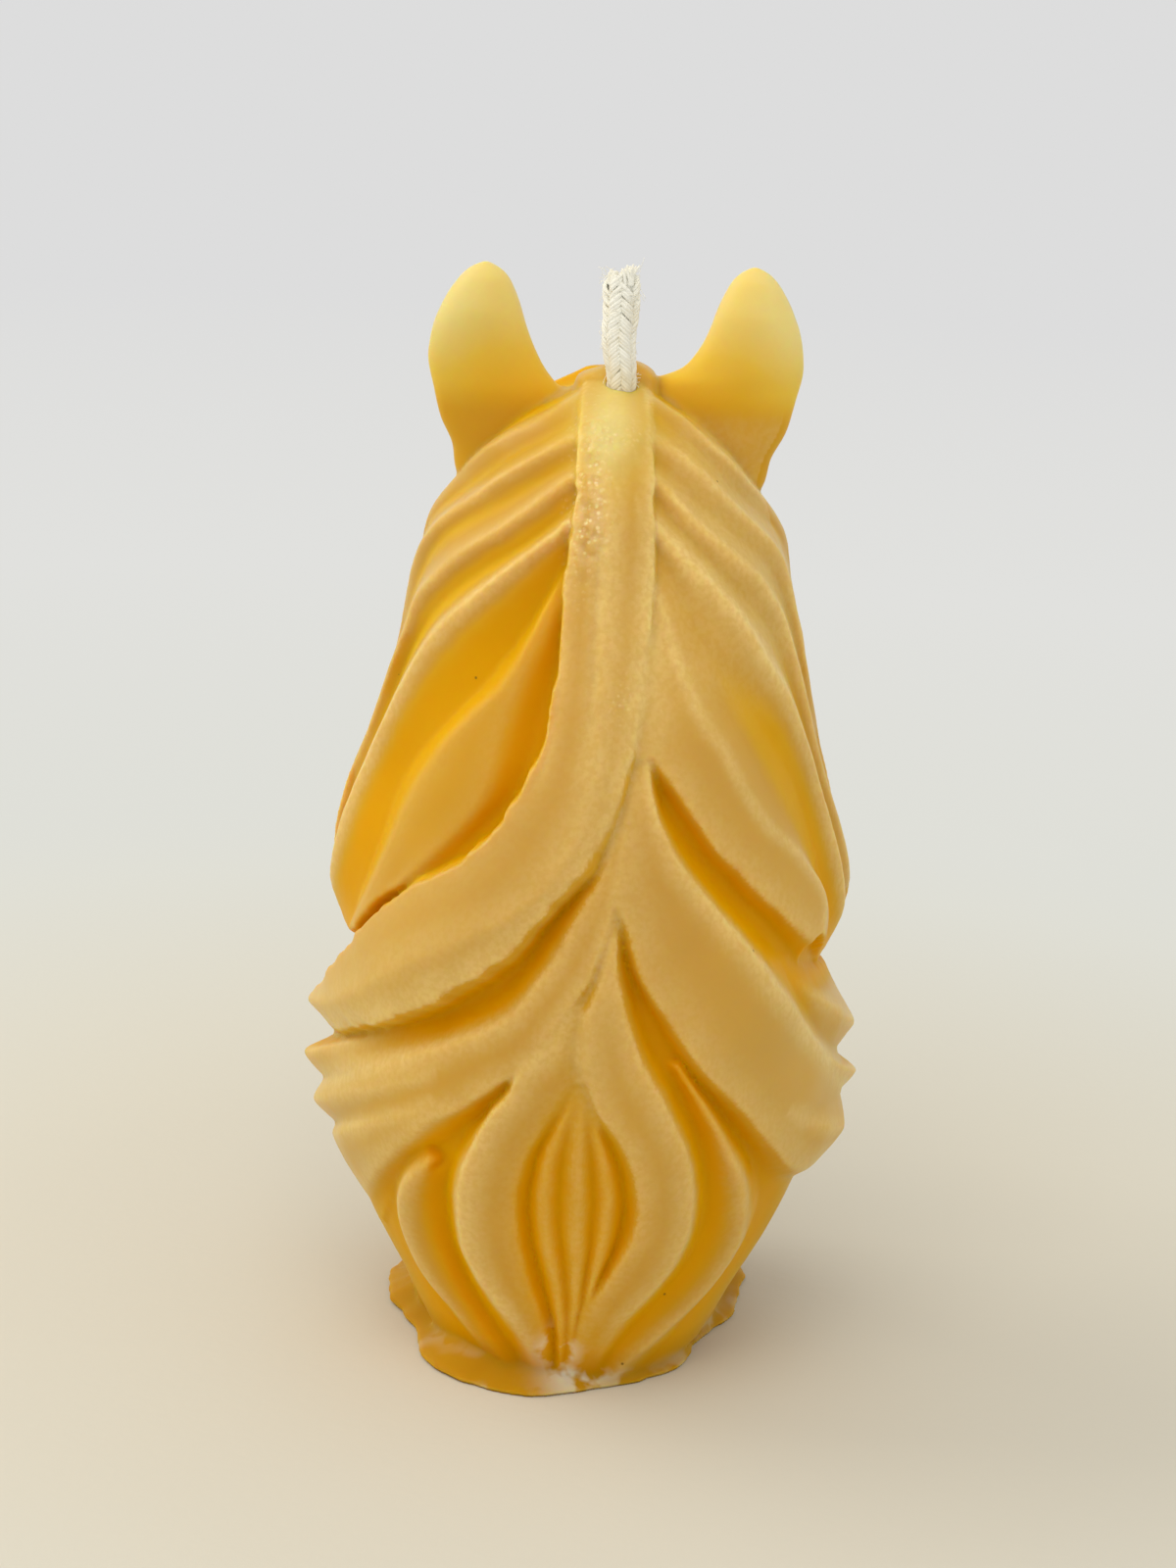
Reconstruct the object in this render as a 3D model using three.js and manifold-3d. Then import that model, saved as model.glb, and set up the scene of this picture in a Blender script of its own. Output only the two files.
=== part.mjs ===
// Horse head candle: one beeswax casting with a cotton wick through it.
// Millimetres, +Z up. The origin is the middle of the flat underside, the horse looks along -Y
// and the crest of its mane faces +Y.
import * as THREE from "three";
import { mergeVertices } from "three/addons/utils/BufferGeometryUtils.js";
import Module from "manifold-3d";

const wasm = await Module();
wasm.setup();

// Driving dimensions of the mane and the body under it
const CROWN_HEIGHT = 80.4; // from the table to the top of the head, between the ears
const MANE_WIDTH = 43.4; // over the tops of the locks at the widest height
const CREST_REACH = 28.4; // from the axis of the mane back to its crest
const MANE_AXIS_Y = -2;
const SECTION_POWER = 2.2; // of a level section of the mane: 2 is an ellipse, more is squarer
const GROOVE_DEPTH = 2.4; // from the tops of the locks down to the grooves between them
const LOCK_ROOT_DEPTH = 5; // how far a lock is rooted below the grooves
const BAND_RISE = 1; // how far the parting band stands above the other locks
const TIP_RISE = 1; // how far the locks' free tips stand out at the sides
const FORELOCK_RISE = 1.5; // how far the forelock stands off the forehead

// Driving dimensions of the wick
const WICK_WIDTH = 2.1; // where it leaves the wax
const WICK_TOP_WIDTH = 2.9;
const WICK_FREE_LENGTH = 9.7;
const WICK_Y = 5; // it stands behind the ears
const WICK_EXIT_DROP = 0.7; // from the crown down to where the wick leaves the wax
const WICK_CLEARANCE = 0.3;
const WICK_END_INSET = 0.6; // its trimmed end, up from the underside
const WICK_LEAN = 0.7; // sideways, at its free end
const PLAIT_PITCH = 0.9; // from one crossing of its strands to the next

// Driving dimensions of the head and neck
const HEAD_WIDTH = 22;
const HEAD_LENGTH = 57; // from the back of the skull to the muzzle
const FACE_TILT = 35; // degrees between the line of the face and the vertical
const POLL_Y = 1; // the top of the head, between the ears
const POLL_DROP = 6.9; // down from the crown
const EYE_RADIUS = 2.1;
const NOSTRIL_RADIUS = 1.3;
const NECK_WIDTH = 25;
const TUFT_WIDTH = 6.4; // the blunt tuft of forelock that the wick comes up behind
const TUFT_DEPTH = 4.6;
const TUFT_RISE = 1.2; // over the crown

// Driving dimensions of the ears
const EAR_LENGTH = 17.4;
const EAR_WIDTH = 9.2;
const EAR_THICKNESS = 5.4;
const EAR_CUP = 2.4; // how deep an ear is hollowed
const EAR_SPACING = 17.4; // between the middles of their roots
const EAR_ROOT_DROP = 9.4; // down from the crown
const EAR_ROOT_Y = 0.5;

// Driving dimensions of the foot, the skirt of wax that spread as the base was melted level
const FOOT_WIDTH = 31.6;
const FOOT_DEPTH = 40;
const FOOT_THICKNESS = 1.5;

const radians = THREE.MathUtils.degToRad;

// A smooth function through points [where, value]
function through(points) {
  const slopes = points.map((p, i) => {
    const a = points[Math.max(i - 1, 0)];
    const b = points[Math.min(i + 1, points.length - 1)];
    return (b[1] - a[1]) / (b[0] - a[0]);
  });
  return (at) => {
    let i = 0;
    while (i < points.length - 2 && at > points[i + 1][0]) i++;
    const span = points[i + 1][0] - points[i][0];
    const t = THREE.MathUtils.clamp((at - points[i][0]) / span, 0, 1);
    const a = (2 * t ** 3 - 3 * t ** 2 + 1) * points[i][1];
    const b = (3 * t ** 2 - 2 * t ** 3) * points[i + 1][1];
    const m = (t ** 3 - 2 * t ** 2 + t) * span * slopes[i];
    const n = (t ** 3 - t ** 2) * span * slopes[i + 1];
    return a + b + m + n;
  };
}

// The mane is drawn at these sizes below, and stretched to the driving dimensions.
const drawn = { crown: 80.4, width: 43.4, reach: 28.4 };
const tall = CROWN_HEIGHT / drawn.crown;
const wide = MANE_WIDTH / drawn.width;
const deep = CREST_REACH / drawn.reach;

// The outline over the tops of the locks: [height, half-width], and [height, reach] to the back and front
const halfWidthAt = through([
  [0, 13.2], [5, 15.4], [10, 18], [15, 20], [20, 21.2], [25, 21.5], [30, 21.3], [38, 21.7],
  [43, 21], [50, 19], [57, 17.2], [65, 15.3], [70, 13.7], [75, 10.8], [78, 7.6], [80.4, 3],
]);
const backAt = through([
  [0, 20.4], [3, 21.2], [8, 23.2], [15, 25.7], [22, 27.5], [30, 28.4], [40, 27.9], [50, 25.5],
  [60, 22], [66, 19.5], [72, 16.6], [76, 14], [79, 11], [80.4, 7.5],
]);
const frontAt = through([
  [0, 15.5], [8, 15], [16, 13], [24, 11], [32, 10], [60, 9.5], [72, 7], [80.4, 3],
]);
// The body's own reach to the front, behind the neck and the head
const bodyFrontAt = through([
  [0, 15.5], [8, 14.6], [16, 12.2], [24, 8.8], [32, 5.6], [40, 3.5], [72, 3.5], [80.4, 2],
]);

// A point of the mane: an angle round from the back towards +X, a height, and a rise from the grooves
function manePoint(angle, z, rise, reachFront = frontAt) {
  const [s, c] = [Math.sin(radians(angle)), Math.cos(radians(angle))];
  const out = rise - GROOVE_DEPTH;
  const reach = (c > 0 ? backAt(z) : reachFront(z)) * deep + out;
  const bend = 2 / SECTION_POWER;
  return new THREE.Vector3(
    (halfWidthAt(z) * wide + out) * Math.sign(s) * Math.abs(s) ** bend,
    MANE_AXIS_Y + Math.max(reach, 1) * Math.sign(c) * Math.abs(c) ** bend,
    z * tall,
  );
}

// A solid from points and faces, whichever way the faces turn
function solid(points, faces) {
  let volume = 0;
  for (let i = 0; i < faces.length; i += 3) {
    const [a, b, c] = [points[faces[i]], points[faces[i + 1]], points[faces[i + 2]]];
    volume += a.dot(new THREE.Vector3().crossVectors(b, c));
  }
  return new wasm.Manifold(
    new wasm.Mesh({
      numProp: 3,
      vertProperties: new Float32Array(points.flatMap((p) => p.toArray())),
      triVerts: new Uint32Array(volume > 0 ? faces : faces.toReversed()),
    }),
  );
}

// A closed skin over rings that have as many points each
function skin(rings) {
  const count = rings[0].length;
  const points = rings.flat();
  const faces = [];
  for (let r = 0; r + 1 < rings.length; r++)
    for (let i = 0; i < count; i++) {
      const [a, b] = [r * count + i, r * count + ((i + 1) % count)];
      faces.push(a, b, a + count, b, b + count, a + count);
    }
  for (const r of [0, rings.length - 1]) {
    const middle = rings[r].reduce((sum, p) => sum.add(p), new THREE.Vector3());
    const at = points.push(middle.divideScalar(count)) - 1;
    for (let i = 0; i < count; i++) {
      const [a, b] = [r * count + i, r * count + ((i + 1) % count)];
      faces.push(at, ...(r ? [a, b] : [b, a]));
    }
  }
  return solid(points, faces);
}

// A ring of points at one height
function ring(count, pointAt) {
  return Array.from({ length: count }, (_, i) => pointAt((i / count) * 2 * Math.PI, i));
}

function solidOf(geometry) {
  const bare = geometry.clone();
  bare.deleteAttribute("normal");
  bare.deleteAttribute("uv");
  const merged = mergeVertices(bare, 1e-4);
  const at = merged.attributes.position;
  const points = Array.from({ length: at.count }, (_, i) => new THREE.Vector3().fromBufferAttribute(at, i));
  return solid(points, [...merged.index.array]);
}

// Points at shares of the length of a smooth line through [angle, height] pairs
function spread(line, shares) {
  const perDegree = 0.3; // about how many millimetres a degree is, round the mane
  const curve = new THREE.CatmullRomCurve3(
    line.map(([angle, z]) => new THREE.Vector3(angle * perDegree, z, 0)),
    false,
    "centripetal",
  );
  return shares.map((share) => curve.getPointAt(share)).map((p) => [p.x / perDegree, p.y]);
}

// Sections of a lock: [share of the way from its upper to its lower edge, share of its rise]
const SHINGLED = [[0, -0.12], [0.1, 0.66], [0.26, 1], [0.5, 0.86], [0.76, 0.5], [1, -0.12]];
const BANDED = [[0, -0.12], [0.05, 0.8], [0.46, 1], [0.94, 0.78], [1, -0.12]];
const ROUNDED = [[0, -0.12], [0.12, 0.66], [0.36, 1], [0.72, 0.72], [1, -0.12]];

// How much of its rise a lock has along its length
const TIPPED = through([[0, 0.55], [0.12, 0.95], [0.3, 1], [0.72, 1], [0.9, 0.86], [1, 0.35]]);
const LEAF = through([[0, 0.3], [0.2, 0.9], [0.5, 1], [0.8, 0.85], [1, 0.25]]);

// A lock lies between two lines on a surface and runs out to a tip.
function lock([upper, lower, tip], options = {}) {
  const { section = SHINGLED, along = TIPPED, rise = 0, tipRise = 0, steps = 10, surface = manePoint } = options;
  const shares = Array.from({ length: steps }, (_, i) => (i < steps - 1 ? i / (steps - 1) : 0.985));
  const above = spread([...upper, tip], shares);
  const below = spread([...lower, tip], shares);
  const rings = shares.map((share, i) => {
    const height = (GROOVE_DEPTH + rise) * along(share) + tipRise * share ** 3;
    const at = (across, up) =>
      surface(
        THREE.MathUtils.lerp(above[i][0], below[i][0], across),
        Math.min(THREE.MathUtils.lerp(above[i][1], below[i][1], across), drawn.crown),
        up,
      );
    const over = section.map(([across, up]) => at(across, up * height));
    return [at(0.12, -LOCK_ROOT_DEPTH), ...over, at(0.88, -LOCK_ROOT_DEPTH)];
  });
  return skin(rings);
}

const wax = [];

// The body under the locks
const levels = [0, 3, 7, 12, 17, 22, 27, 32, 38, 44, 50, 56, 62, 67, 71, 75, 78, drawn.crown - 1.2];
wax.push(skin(levels.map((z) => ring(24, (turn, i) => manePoint(i * 15, z, 0, bodyFrontAt)))));

// The parting band comes down the crest, swings to +X and ends in a blunt tip at the side.
const band = [
  [
    [12, 76], [10, 72], [9, 68], [8, 63], [8, 59], [9, 56], [12, 52.6], [18, 50], [26, 47],
    [36, 43.8], [48, 40.3], [60, 36.4], [76, 33], [90, 30.6],
  ],
  [
    [-24, 78], [-18, 74], [-14.5, 69], [-12, 63], [-12, 59], [-9.5, 55], [-6, 50], [-2, 47],
    [2, 44], [8, 41.6], [16, 39], [26, 35.8], [38, 33], [52, 29.8], [68, 27], [86, 24.6],
  ],
  [99, 27],
];
wax.push(lock(band, { section: BANDED, rise: BAND_RISE, tipRise: TIP_RISE, steps: 17 }));

// The fans of locks on both sides, as the lines between them from the ear down, and the locks' tips
const leftLines = [
  [[40, 80], [66, 77.6], [90, 73], [108, 66], [119, 57], [124, 48]],
  [[22, 79.4], [42, 78.4], [58, 76.2], [74, 73], [88, 68], [99, 60], [106, 52], [109, 45]],
  [[14, 77.6], [28, 76.4], [42, 74.4], [56, 71.4], [70, 67.4], [82, 62], [93, 54], [100, 46]],
  [[10, 75.2], [22, 73.8], [34, 71.6], [46, 68.9], [58, 65.9], [69, 61.6], [79, 55], [87, 47], [92, 40]],
  [[8, 72], [15, 70.4], [24, 68], [36, 65.6], [47, 62.8], [58, 59.6], [67, 55.4], [74, 50], [77, 44], [76, 39]],
  [[7, 67], [13, 64.6], [20, 62], [26, 60], [34, 57], [44, 54], [52, 50], [57, 46], [57, 42], [55, 39]],
  [[7, 60], [9, 57], [11, 53.5], [16, 51], [24, 48], [35, 44], [42, 42.2]],
];
const leftTips = [[122, 41], [112, 36], [101, 38], [90, 32.8], [65, 33.4], [50, 39.4]];
const rightLines = [
  [[-44, 80], [-66, 77.8], [-90, 73.4], [-108, 66], [-119, 57], [-124, 48]],
  [[-33, 79.2], [-54, 77], [-70, 74.4], [-84, 70.5], [-96, 63], [-104, 54], [-109, 45]],
  [[-25, 77.4], [-36, 76], [-48, 73.6], [-60, 70.6], [-73, 66.8], [-86, 61], [-97, 52], [-102, 44]],
  [[-18, 75], [-27, 73.4], [-40, 70.2], [-54, 67.4], [-66, 63.8], [-74, 59.5], [-82, 54], [-86, 47], [-87, 40]],
  [[-14, 71], [-24, 69.4], [-36, 66.8], [-48, 63.4], [-58, 59.6], [-66, 55.6], [-73, 50], [-78, 44], [-78, 38]],
  [[-12, 67], [-18, 64.6], [-25, 60.6], [-32, 56.8], [-42, 53], [-54, 49], [-64, 44.6], [-66, 41]],
  [[-10, 56], [-13, 53], [-17, 50], [-21, 48], [-27, 45], [-34, 42], [-42, 40], [-51, 38]],
];
const rightTips = [[-122, 40], [-111, 36.6], [-100, 37.6], [-87, 33], [-70, 32.4], [-58, 37.4]];
const POINTED = 4; // the upper locks of a fan end in points, the lower ones in round lobes
for (const [lines, tips] of [[leftLines, leftTips], [rightLines, rightTips]])
  tips.forEach((tip, i) => {
    const pointed = i < POINTED;
    wax.push(
      lock([lines[i], lines[i + 1], tip], {
        section: pointed ? SHINGLED : ROUNDED,
        tipRise: pointed ? TIP_RISE : 0,
      }),
    );
  });

// The locks that come out from under the fans and run down to the sides: upper edge, lower edge, tip
const sideLocks = [
  [
    [[16, 39], [32, 34], [48, 30.4], [66, 27.4], [84, 25]],
    [[12, 34.6], [18, 33], [29, 30], [44, 27], [67, 23], [84, 20]],
    [96, 22],
  ],
  [
    [[-5, 49], [-3, 45], [0, 41.4], [3, 38], [9, 35], [18, 33], [29, 30], [44, 27], [67, 23], [84, 19.8]],
    [[-7, 46], [-4, 41], [1, 37], [6, 33], [13, 31], [22, 28.8], [33, 25.6], [47, 22], [66, 18], [84, 16]],
    [96, 17.6],
  ],
  [
    [[-7, 46], [-4, 41], [1, 37], [6, 33], [13, 31], [22, 28.8], [33, 25.6], [47, 22], [66, 18], [84, 16]],
    [[-5, 41], [-2, 37], [3, 33], [9, 30], [17, 28], [26, 25], [36, 22], [54, 17], [70, 13.5], [84, 12]],
    [96, 13.6],
  ],
  [
    [[-14, 51], [-21, 48], [-27, 45], [-34, 42], [-42, 40], [-52, 37.6], [-70, 33.6], [-86, 30.4]],
    [[-12, 49.6], [-20, 46], [-27, 43], [-34, 40], [-43, 37], [-58, 31.4], [-76, 26.6], [-88, 24.4]],
    [-98, 27],
  ],
  [
    [[-9, 50], [-14, 48], [-20, 46], [-27, 43], [-34, 40], [-43, 37], [-58, 31.4], [-76, 26.4], [-88, 24]],
    [[-7, 48], [-11, 44.6], [-16, 41.4], [-23, 38], [-30, 35], [-38, 31], [-50, 26], [-68, 21], [-86, 19.6]],
    [-98, 22],
  ],
  [
    [[-7, 48], [-11, 44.6], [-16, 41.4], [-23, 38], [-30, 35], [-38, 31], [-50, 26], [-68, 21], [-86, 19.4]],
    [[-5, 45], [-8, 41], [-11, 38], [-16, 35], [-24, 31], [-32, 28], [-39, 24], [-47, 20], [-66, 14.6], [-84, 12]],
    [-97, 16],
  ],
];
for (const edges of sideLocks) wax.push(lock(edges, { tipRise: TIP_RISE }));

// The leaves at the foot of the mane: outer edge, inner edge, tip
const leaves = [
  [
    [[0, 35], [4, 31.5], [9, 29], [14, 26.4], [19, 23.4], [22, 19.6], [24, 16], [23, 12], [18, 8.6], [11, 5]],
    [[-1, 31], [0, 27], [3, 25], [6, 21], [7, 17], [8, 14], [7, 10], [5, 6.5]],
    [4, 2.6],
  ],
  [
    [[14, 27.5], [22, 25.6], [30, 22.4], [37, 18.6], [41, 15], [41, 11.4], [38, 8.4], [31, 5]],
    [[13, 26], [19, 23.4], [22, 19.6], [24, 16], [23, 12], [21, 9], [18, 6]],
    [19, 2.4],
  ],
  [
    [[32, 24.4], [41, 21.4], [49, 17.4], [55, 13.6], [54, 10], [50, 7]],
    [[33, 21.6], [37, 18.6], [41, 15], [41, 11.4], [40, 8]],
    [42, 3.4],
  ],
  [
    [[50, 18], [62, 14.6], [74, 12], [86, 10.6], [92, 8]],
    [[52, 15], [56, 12], [60, 9], [66, 6]],
    [76, 3.4],
  ],
  [
    [[-6, 38], [-10, 33.6], [-16, 30], [-23, 26], [-27, 21], [-30, 16], [-32, 11], [-29, 7]],
    [[-2, 30], [-5, 27], [-9, 24], [-13, 21], [-16, 17], [-16, 13], [-14, 9], [-10, 5]],
    [-16, 2.4],
  ],
  [
    [[-9, 38.6], [-16, 35], [-24, 31], [-32, 27.6], [-39.5, 23.6], [-47, 18.6], [-55, 13.6], [-60, 9], [-58, 5.4]],
    [[-10, 33.6], [-16, 30], [-23, 26], [-27, 21], [-30, 16], [-32, 11], [-33, 7]],
    [-42, 2.4],
  ],
  [
    [[-46, 20.6], [-64, 14.8], [-78, 12], [-90, 9]],
    [[-48, 18.6], [-55, 13.6], [-61, 9], [-64, 6]],
    [-74, 3],
  ],
  [
    [[-1, 30], [2, 25.4], [5, 21], [6, 17], [5.6, 13], [4, 8]],
    [[-2, 28], [-2.6, 23], [-3, 18], [-3, 12], [-2, 7]],
    [0, 3],
  ],
  [
    [[-3, 29], [-3.6, 23], [-4, 18], [-4, 12], [-3, 7]],
    [[-5, 27], [-10, 22.6], [-14, 17], [-13.6, 12.6], [-9, 8]],
    [-5, 3],
  ],
];
for (const edges of leaves) wax.push(lock(edges, { along: LEAF, steps: 8 }));

// The neck, from the chest up into the head: [height, front, back, share of its width]
const neckStations = [
  [0, -17.5, 8, 0.96], [8, -17, 8, 1], [16, -14.6, 8, 1], [24, -11.8, 6, 1], [32, -9.6, 6, 1],
  [40, -8.6, 6, 1], [50, -9, 6, 1], [62, -9, 6, 0.96], [72, -7, 5, 0.8],
];
wax.push(
  skin(
    neckStations.map(([z, front, back, share]) =>
      ring(16, (turn) => {
        const half = (NECK_WIDTH / 2) * share;
        return new THREE.Vector3(
          half * Math.sin(turn),
          (front + back) / 2 + ((back - front) / 2) * Math.cos(turn),
          z * tall,
        );
      }),
    ),
  ),
);

// The head's own frame: s runs from the back of the skull down to the muzzle, d out of the forehead
const tilt = radians(FACE_TILT);
const poll = new THREE.Vector3(0, POLL_Y, CROWN_HEIGHT - POLL_DROP);
const downFace = new THREE.Vector3(0, -Math.sin(tilt), -Math.cos(tilt));
const outOfFace = new THREE.Vector3(0, -Math.cos(tilt), Math.sin(tilt));
const broad = HEAD_WIDTH / 22;
const long = HEAD_LENGTH / 57;
const headPoint = (x, s, d) =>
  poll.clone().addScaledVector(downFace, s * long).addScaledVector(outOfFace, d * broad).setX(x * broad);

// The skull and muzzle: [s, reach to the forehead's side, reach to the throat's side, half-width]
const headStations = [
  [-5, 3, 5, 5], [-2, 6, 7, 7.4], [3, 8, 9, 9], [8, 9.4, 11.5, 10.4], [14, 9.6, 13.5, 11], [20, 8.9, 14, 10.4],
  [27, 7.6, 12.6, 9], [34, 6.6, 9, 7.2], [40, 6.1, 7, 6.4], [45, 5.9, 6.6, 6.8], [49, 5, 5.8, 6.4], [52, 3, 4, 4.4],
];
const headColumn = (column) => through(headStations.map((station) => [station[0], station[column]]));
const [foreheadAt, throatAt, headHalfAt] = [1, 2, 3].map(headColumn);

// A point of the head: an angle round from the middle of the forehead, a way down the face, and a rise
function headSkin(angle, s, rise) {
  const [x, d] = [Math.sin(radians(angle)), Math.cos(radians(angle))];
  const square = 1 + 0.1 * Math.sin(radians(2 * angle)) ** 2;
  const reach = (d > 0 ? foreheadAt(s) : throatAt(s)) + rise;
  return headPoint((headHalfAt(s) + rise) * x * square, s, reach * d * square);
}
wax.push(skin(headStations.map(([s]) => ring(18, (turn, i) => headSkin(i * 20, s, 0)))));

// The forelock falls between the ears: outer edge, inner edge, tip, in angle and way down the face.
const forelock = [
  [[[-16, -4], [-20, 3], [-17, 10], [-10, 17]], [[6, -4], [7, 4], [4, 11], [0, 17]], [-4, 25]],
  [[[30, -3], [38, 3], [40, 9], [33, 14]], [[6, -4], [9, 4], [15, 10], [20, 14]], [24, 20]],
  [[[-42, -3], [-46, 3], [-45, 9], [-38, 14]], [[-16, -4], [-21, 4], [-26, 10], [-28, 14]], [-30, 21]],
];
for (const edges of forelock)
  wax.push(lock(edges, { along: LEAF, steps: 7, rise: FORELOCK_RISE - GROOVE_DEPTH, surface: headSkin }));

// A ball pressed to three half-sizes, in the head's frame
function knob(x, s, d, across, along, out) {
  const axes = [
    new THREE.Vector3(across, 0, 0),
    downFace.clone().multiplyScalar(along),
    outOfFace.clone().multiplyScalar(out),
  ];
  const place = new THREE.Matrix4().makeBasis(...axes).setPosition(headPoint(x, s, d));
  return solidOf(new THREE.SphereGeometry(1, 10, 6).applyMatrix4(place));
}
for (const side of [1, -1]) {
  wax.push(knob(side * 6.6, 22, -5.5, 4.6, 9, 8)); // cheek
  wax.push(knob(side * 8.6, 15.5, 4.6, 2.6, 4.4, 2)); // brow
  wax.push(knob(side * 9.8, 18, 3, EYE_RADIUS * 0.7, EYE_RADIUS, EYE_RADIUS * 0.8)); // eye
  wax.push(knob(side * 5.2, 47.4, 2.6, 2, 3.2, 2.4)); // rim of the nostril
}

// The ears, cupped to the front: shares of the length, width and cup, and the way outwards and forwards
const earStations = [
  [0, 0.86, 0.1, -0.6, 0], [0.18, 0.9, 0.35, -0.2, 0], [0.36, 0.98, 0.8, 0.6, 0.1], [0.5, 1, 1, 1, 0.2],
  [0.64, 0.93, 0.95, 1.4, 0.3], [0.78, 0.72, 0.7, 1.8, 0.5], [0.89, 0.48, 0.4, 2, 0.9], [0.96, 0.28, 0.2, 2, 1.1],
  [1, 0.08, 0.1, 1.9, 1.2],
];
for (const side of [1, -1])
  wax.push(
    skin(
      earStations.map(([along, share, cup, outwards, forwards]) => {
        const half = (EAR_WIDTH / 2) * share;
        const thick = (EAR_THICKNESS / 2) * Math.max(share, 0.25);
        const back = [-1, -0.6, 0, 0.6, 1].map((across) => [across, thick * (1 - across ** 2) + 0.3]);
        const front = [0.72, 0, -0.72].map((across) => {
          const hollow = EAR_CUP * cup * (1 - across ** 2);
          return [across, hollow - thick * 0.55];
        });
        return [...back, ...front].map(
          ([across, y]) =>
            new THREE.Vector3(
              side * (EAR_SPACING / 2 + outwards + across * half),
              EAR_ROOT_Y - forwards + y,
              CROWN_HEIGHT - EAR_ROOT_DROP + EAR_LENGTH * along,
            ),
        );
      }),
    ),
  );

// The tuft stands on the crown in front of the wick, higher on the -X side.
const tuftRings = [[-8, 1.1, 0], [-2, 1, 0], [-0.7, 0.98, 0.25], [0, 0.84, 0.4]].map(([up, share, slant]) =>
  ring(12, (turn) => {
    const [x, y] = [Math.sin(turn), Math.cos(turn)];
    const square = 1 / Math.max(Math.abs(x), Math.abs(y)) ** 0.6;
    return new THREE.Vector3(
      (TUFT_WIDTH / 2) * share * x * square,
      WICK_Y - WICK_WIDTH / 2 - TUFT_DEPTH / 2 + (TUFT_DEPTH / 2) * share * y * square + 0.6,
      CROWN_HEIGHT + TUFT_RISE + up - slant * x,
    );
  }),
);
wax.push(skin(tuftRings));

// The foot's skirt, thin and uneven: [degrees round from the back, reach] as drawn, 40 mm deep and 31.6 mm wide
const footReach = through([
  [-180, 20], [-150, 19], [-121, 17.6], [-101, 15.8], [-84, 14.6], [-66, 13.6], [-47, 14.8], [-23, 17.6],
  [-10, 18.4], [4, 20.2], [16, 20.3], [25, 19.8], [40, 18], [57, 15.6], [76, 15], [93, 15.7], [112, 15.9],
  [135, 17], [158, 19.2], [180, 20],
]);
const footProfile = [[0, 0.98], [0.5, 1], [1, 0.96], [1.6, 0.84]];
wax.push(
  skin(
    footProfile.map(([up, share]) =>
      ring(36, (turn, i) => {
        const reach = share * footReach(i * 10 - (i > 18 ? 360 : 0));
        return new THREE.Vector3(
          (FOOT_WIDTH / 31.6) * reach * Math.sin(turn),
          (FOOT_DEPTH / 40) * reach * Math.cos(turn),
          FOOT_THICKNESS * up,
        );
      }),
    ),
  ),
);

// The nostrils, the line of the mouth and the wick's channel are hollow.
let casting = wax.reduce((all, next) => all.add(next));
casting = casting.subtract(knob(0, 50.5, -1.9, 9, 7.5, 0.45));
for (const side of [1, -1])
  casting = casting.subtract(knob(side * 6.4, 48, 3.4, NOSTRIL_RADIUS, NOSTRIL_RADIUS * 1.5, NOSTRIL_RADIUS));
const channelRadius = WICK_WIDTH / 2 + WICK_CLEARANCE;
const channel = new THREE.CylinderGeometry(channelRadius, channelRadius, CROWN_HEIGHT * 2 + 10, 16);
casting = casting.subtract(solidOf(channel.rotateX(Math.PI / 2).translate(0, WICK_Y, 0)));

// The wick is round in its channel. Above the wax its plait stands out, and it spreads and leans.
const wickExit = CROWN_HEIGHT - WICK_EXIT_DROP;
const wickTop = wickExit + WICK_FREE_LENGTH;
const wickRing = (z, width, plait, x) =>
  ring(8, (turn, i) => {
    const radius = (width / 2) * (1 - plait * (i % 2));
    return new THREE.Vector3(x + radius * Math.sin(turn), WICK_Y + radius * Math.cos(turn), z);
  });
const wickRings = [WICK_END_INSET, wickExit / 2, wickExit].map((z) => wickRing(z, WICK_WIDTH, 0, 0));
const crossings = Math.round(WICK_FREE_LENGTH / PLAIT_PITCH);
for (let i = 1; i <= crossings; i++) {
  const share = i / crossings;
  const width = THREE.MathUtils.lerp(WICK_WIDTH, WICK_TOP_WIDTH, share);
  const turned = wickRing(wickExit + WICK_FREE_LENGTH * share, width, 0.14, WICK_LEAN * share);
  wickRings.push(i % 2 ? turned : wickRing(wickExit + WICK_FREE_LENGTH * share, width, 0, WICK_LEAN * share));
}
const wick = skin(wickRings);

function meshOf(name, body, look) {
  const made = body.getMesh();
  const geometry = new THREE.BufferGeometry()
    .setAttribute("position", new THREE.BufferAttribute(Float32Array.from(made.vertProperties), 3))
    .setIndex(new THREE.BufferAttribute(Uint32Array.from(made.triVerts), 1));
  const mesh = new THREE.Mesh(geometry, new THREE.MeshStandardMaterial({ ...look, metalness: 0 }));
  mesh.name = name;
  return mesh;
}

const candle = new THREE.Group();
candle.add(meshOf("wax_body", casting, { color: "#e0ac3c", roughness: 0.45 }));
candle.add(meshOf("wick", wick, { color: "#efe9dc", roughness: 0.9 }));
export default candle;
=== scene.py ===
import copy
import math

import bpy
import numpy as np
from mathutils import Matrix, Vector


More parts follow.
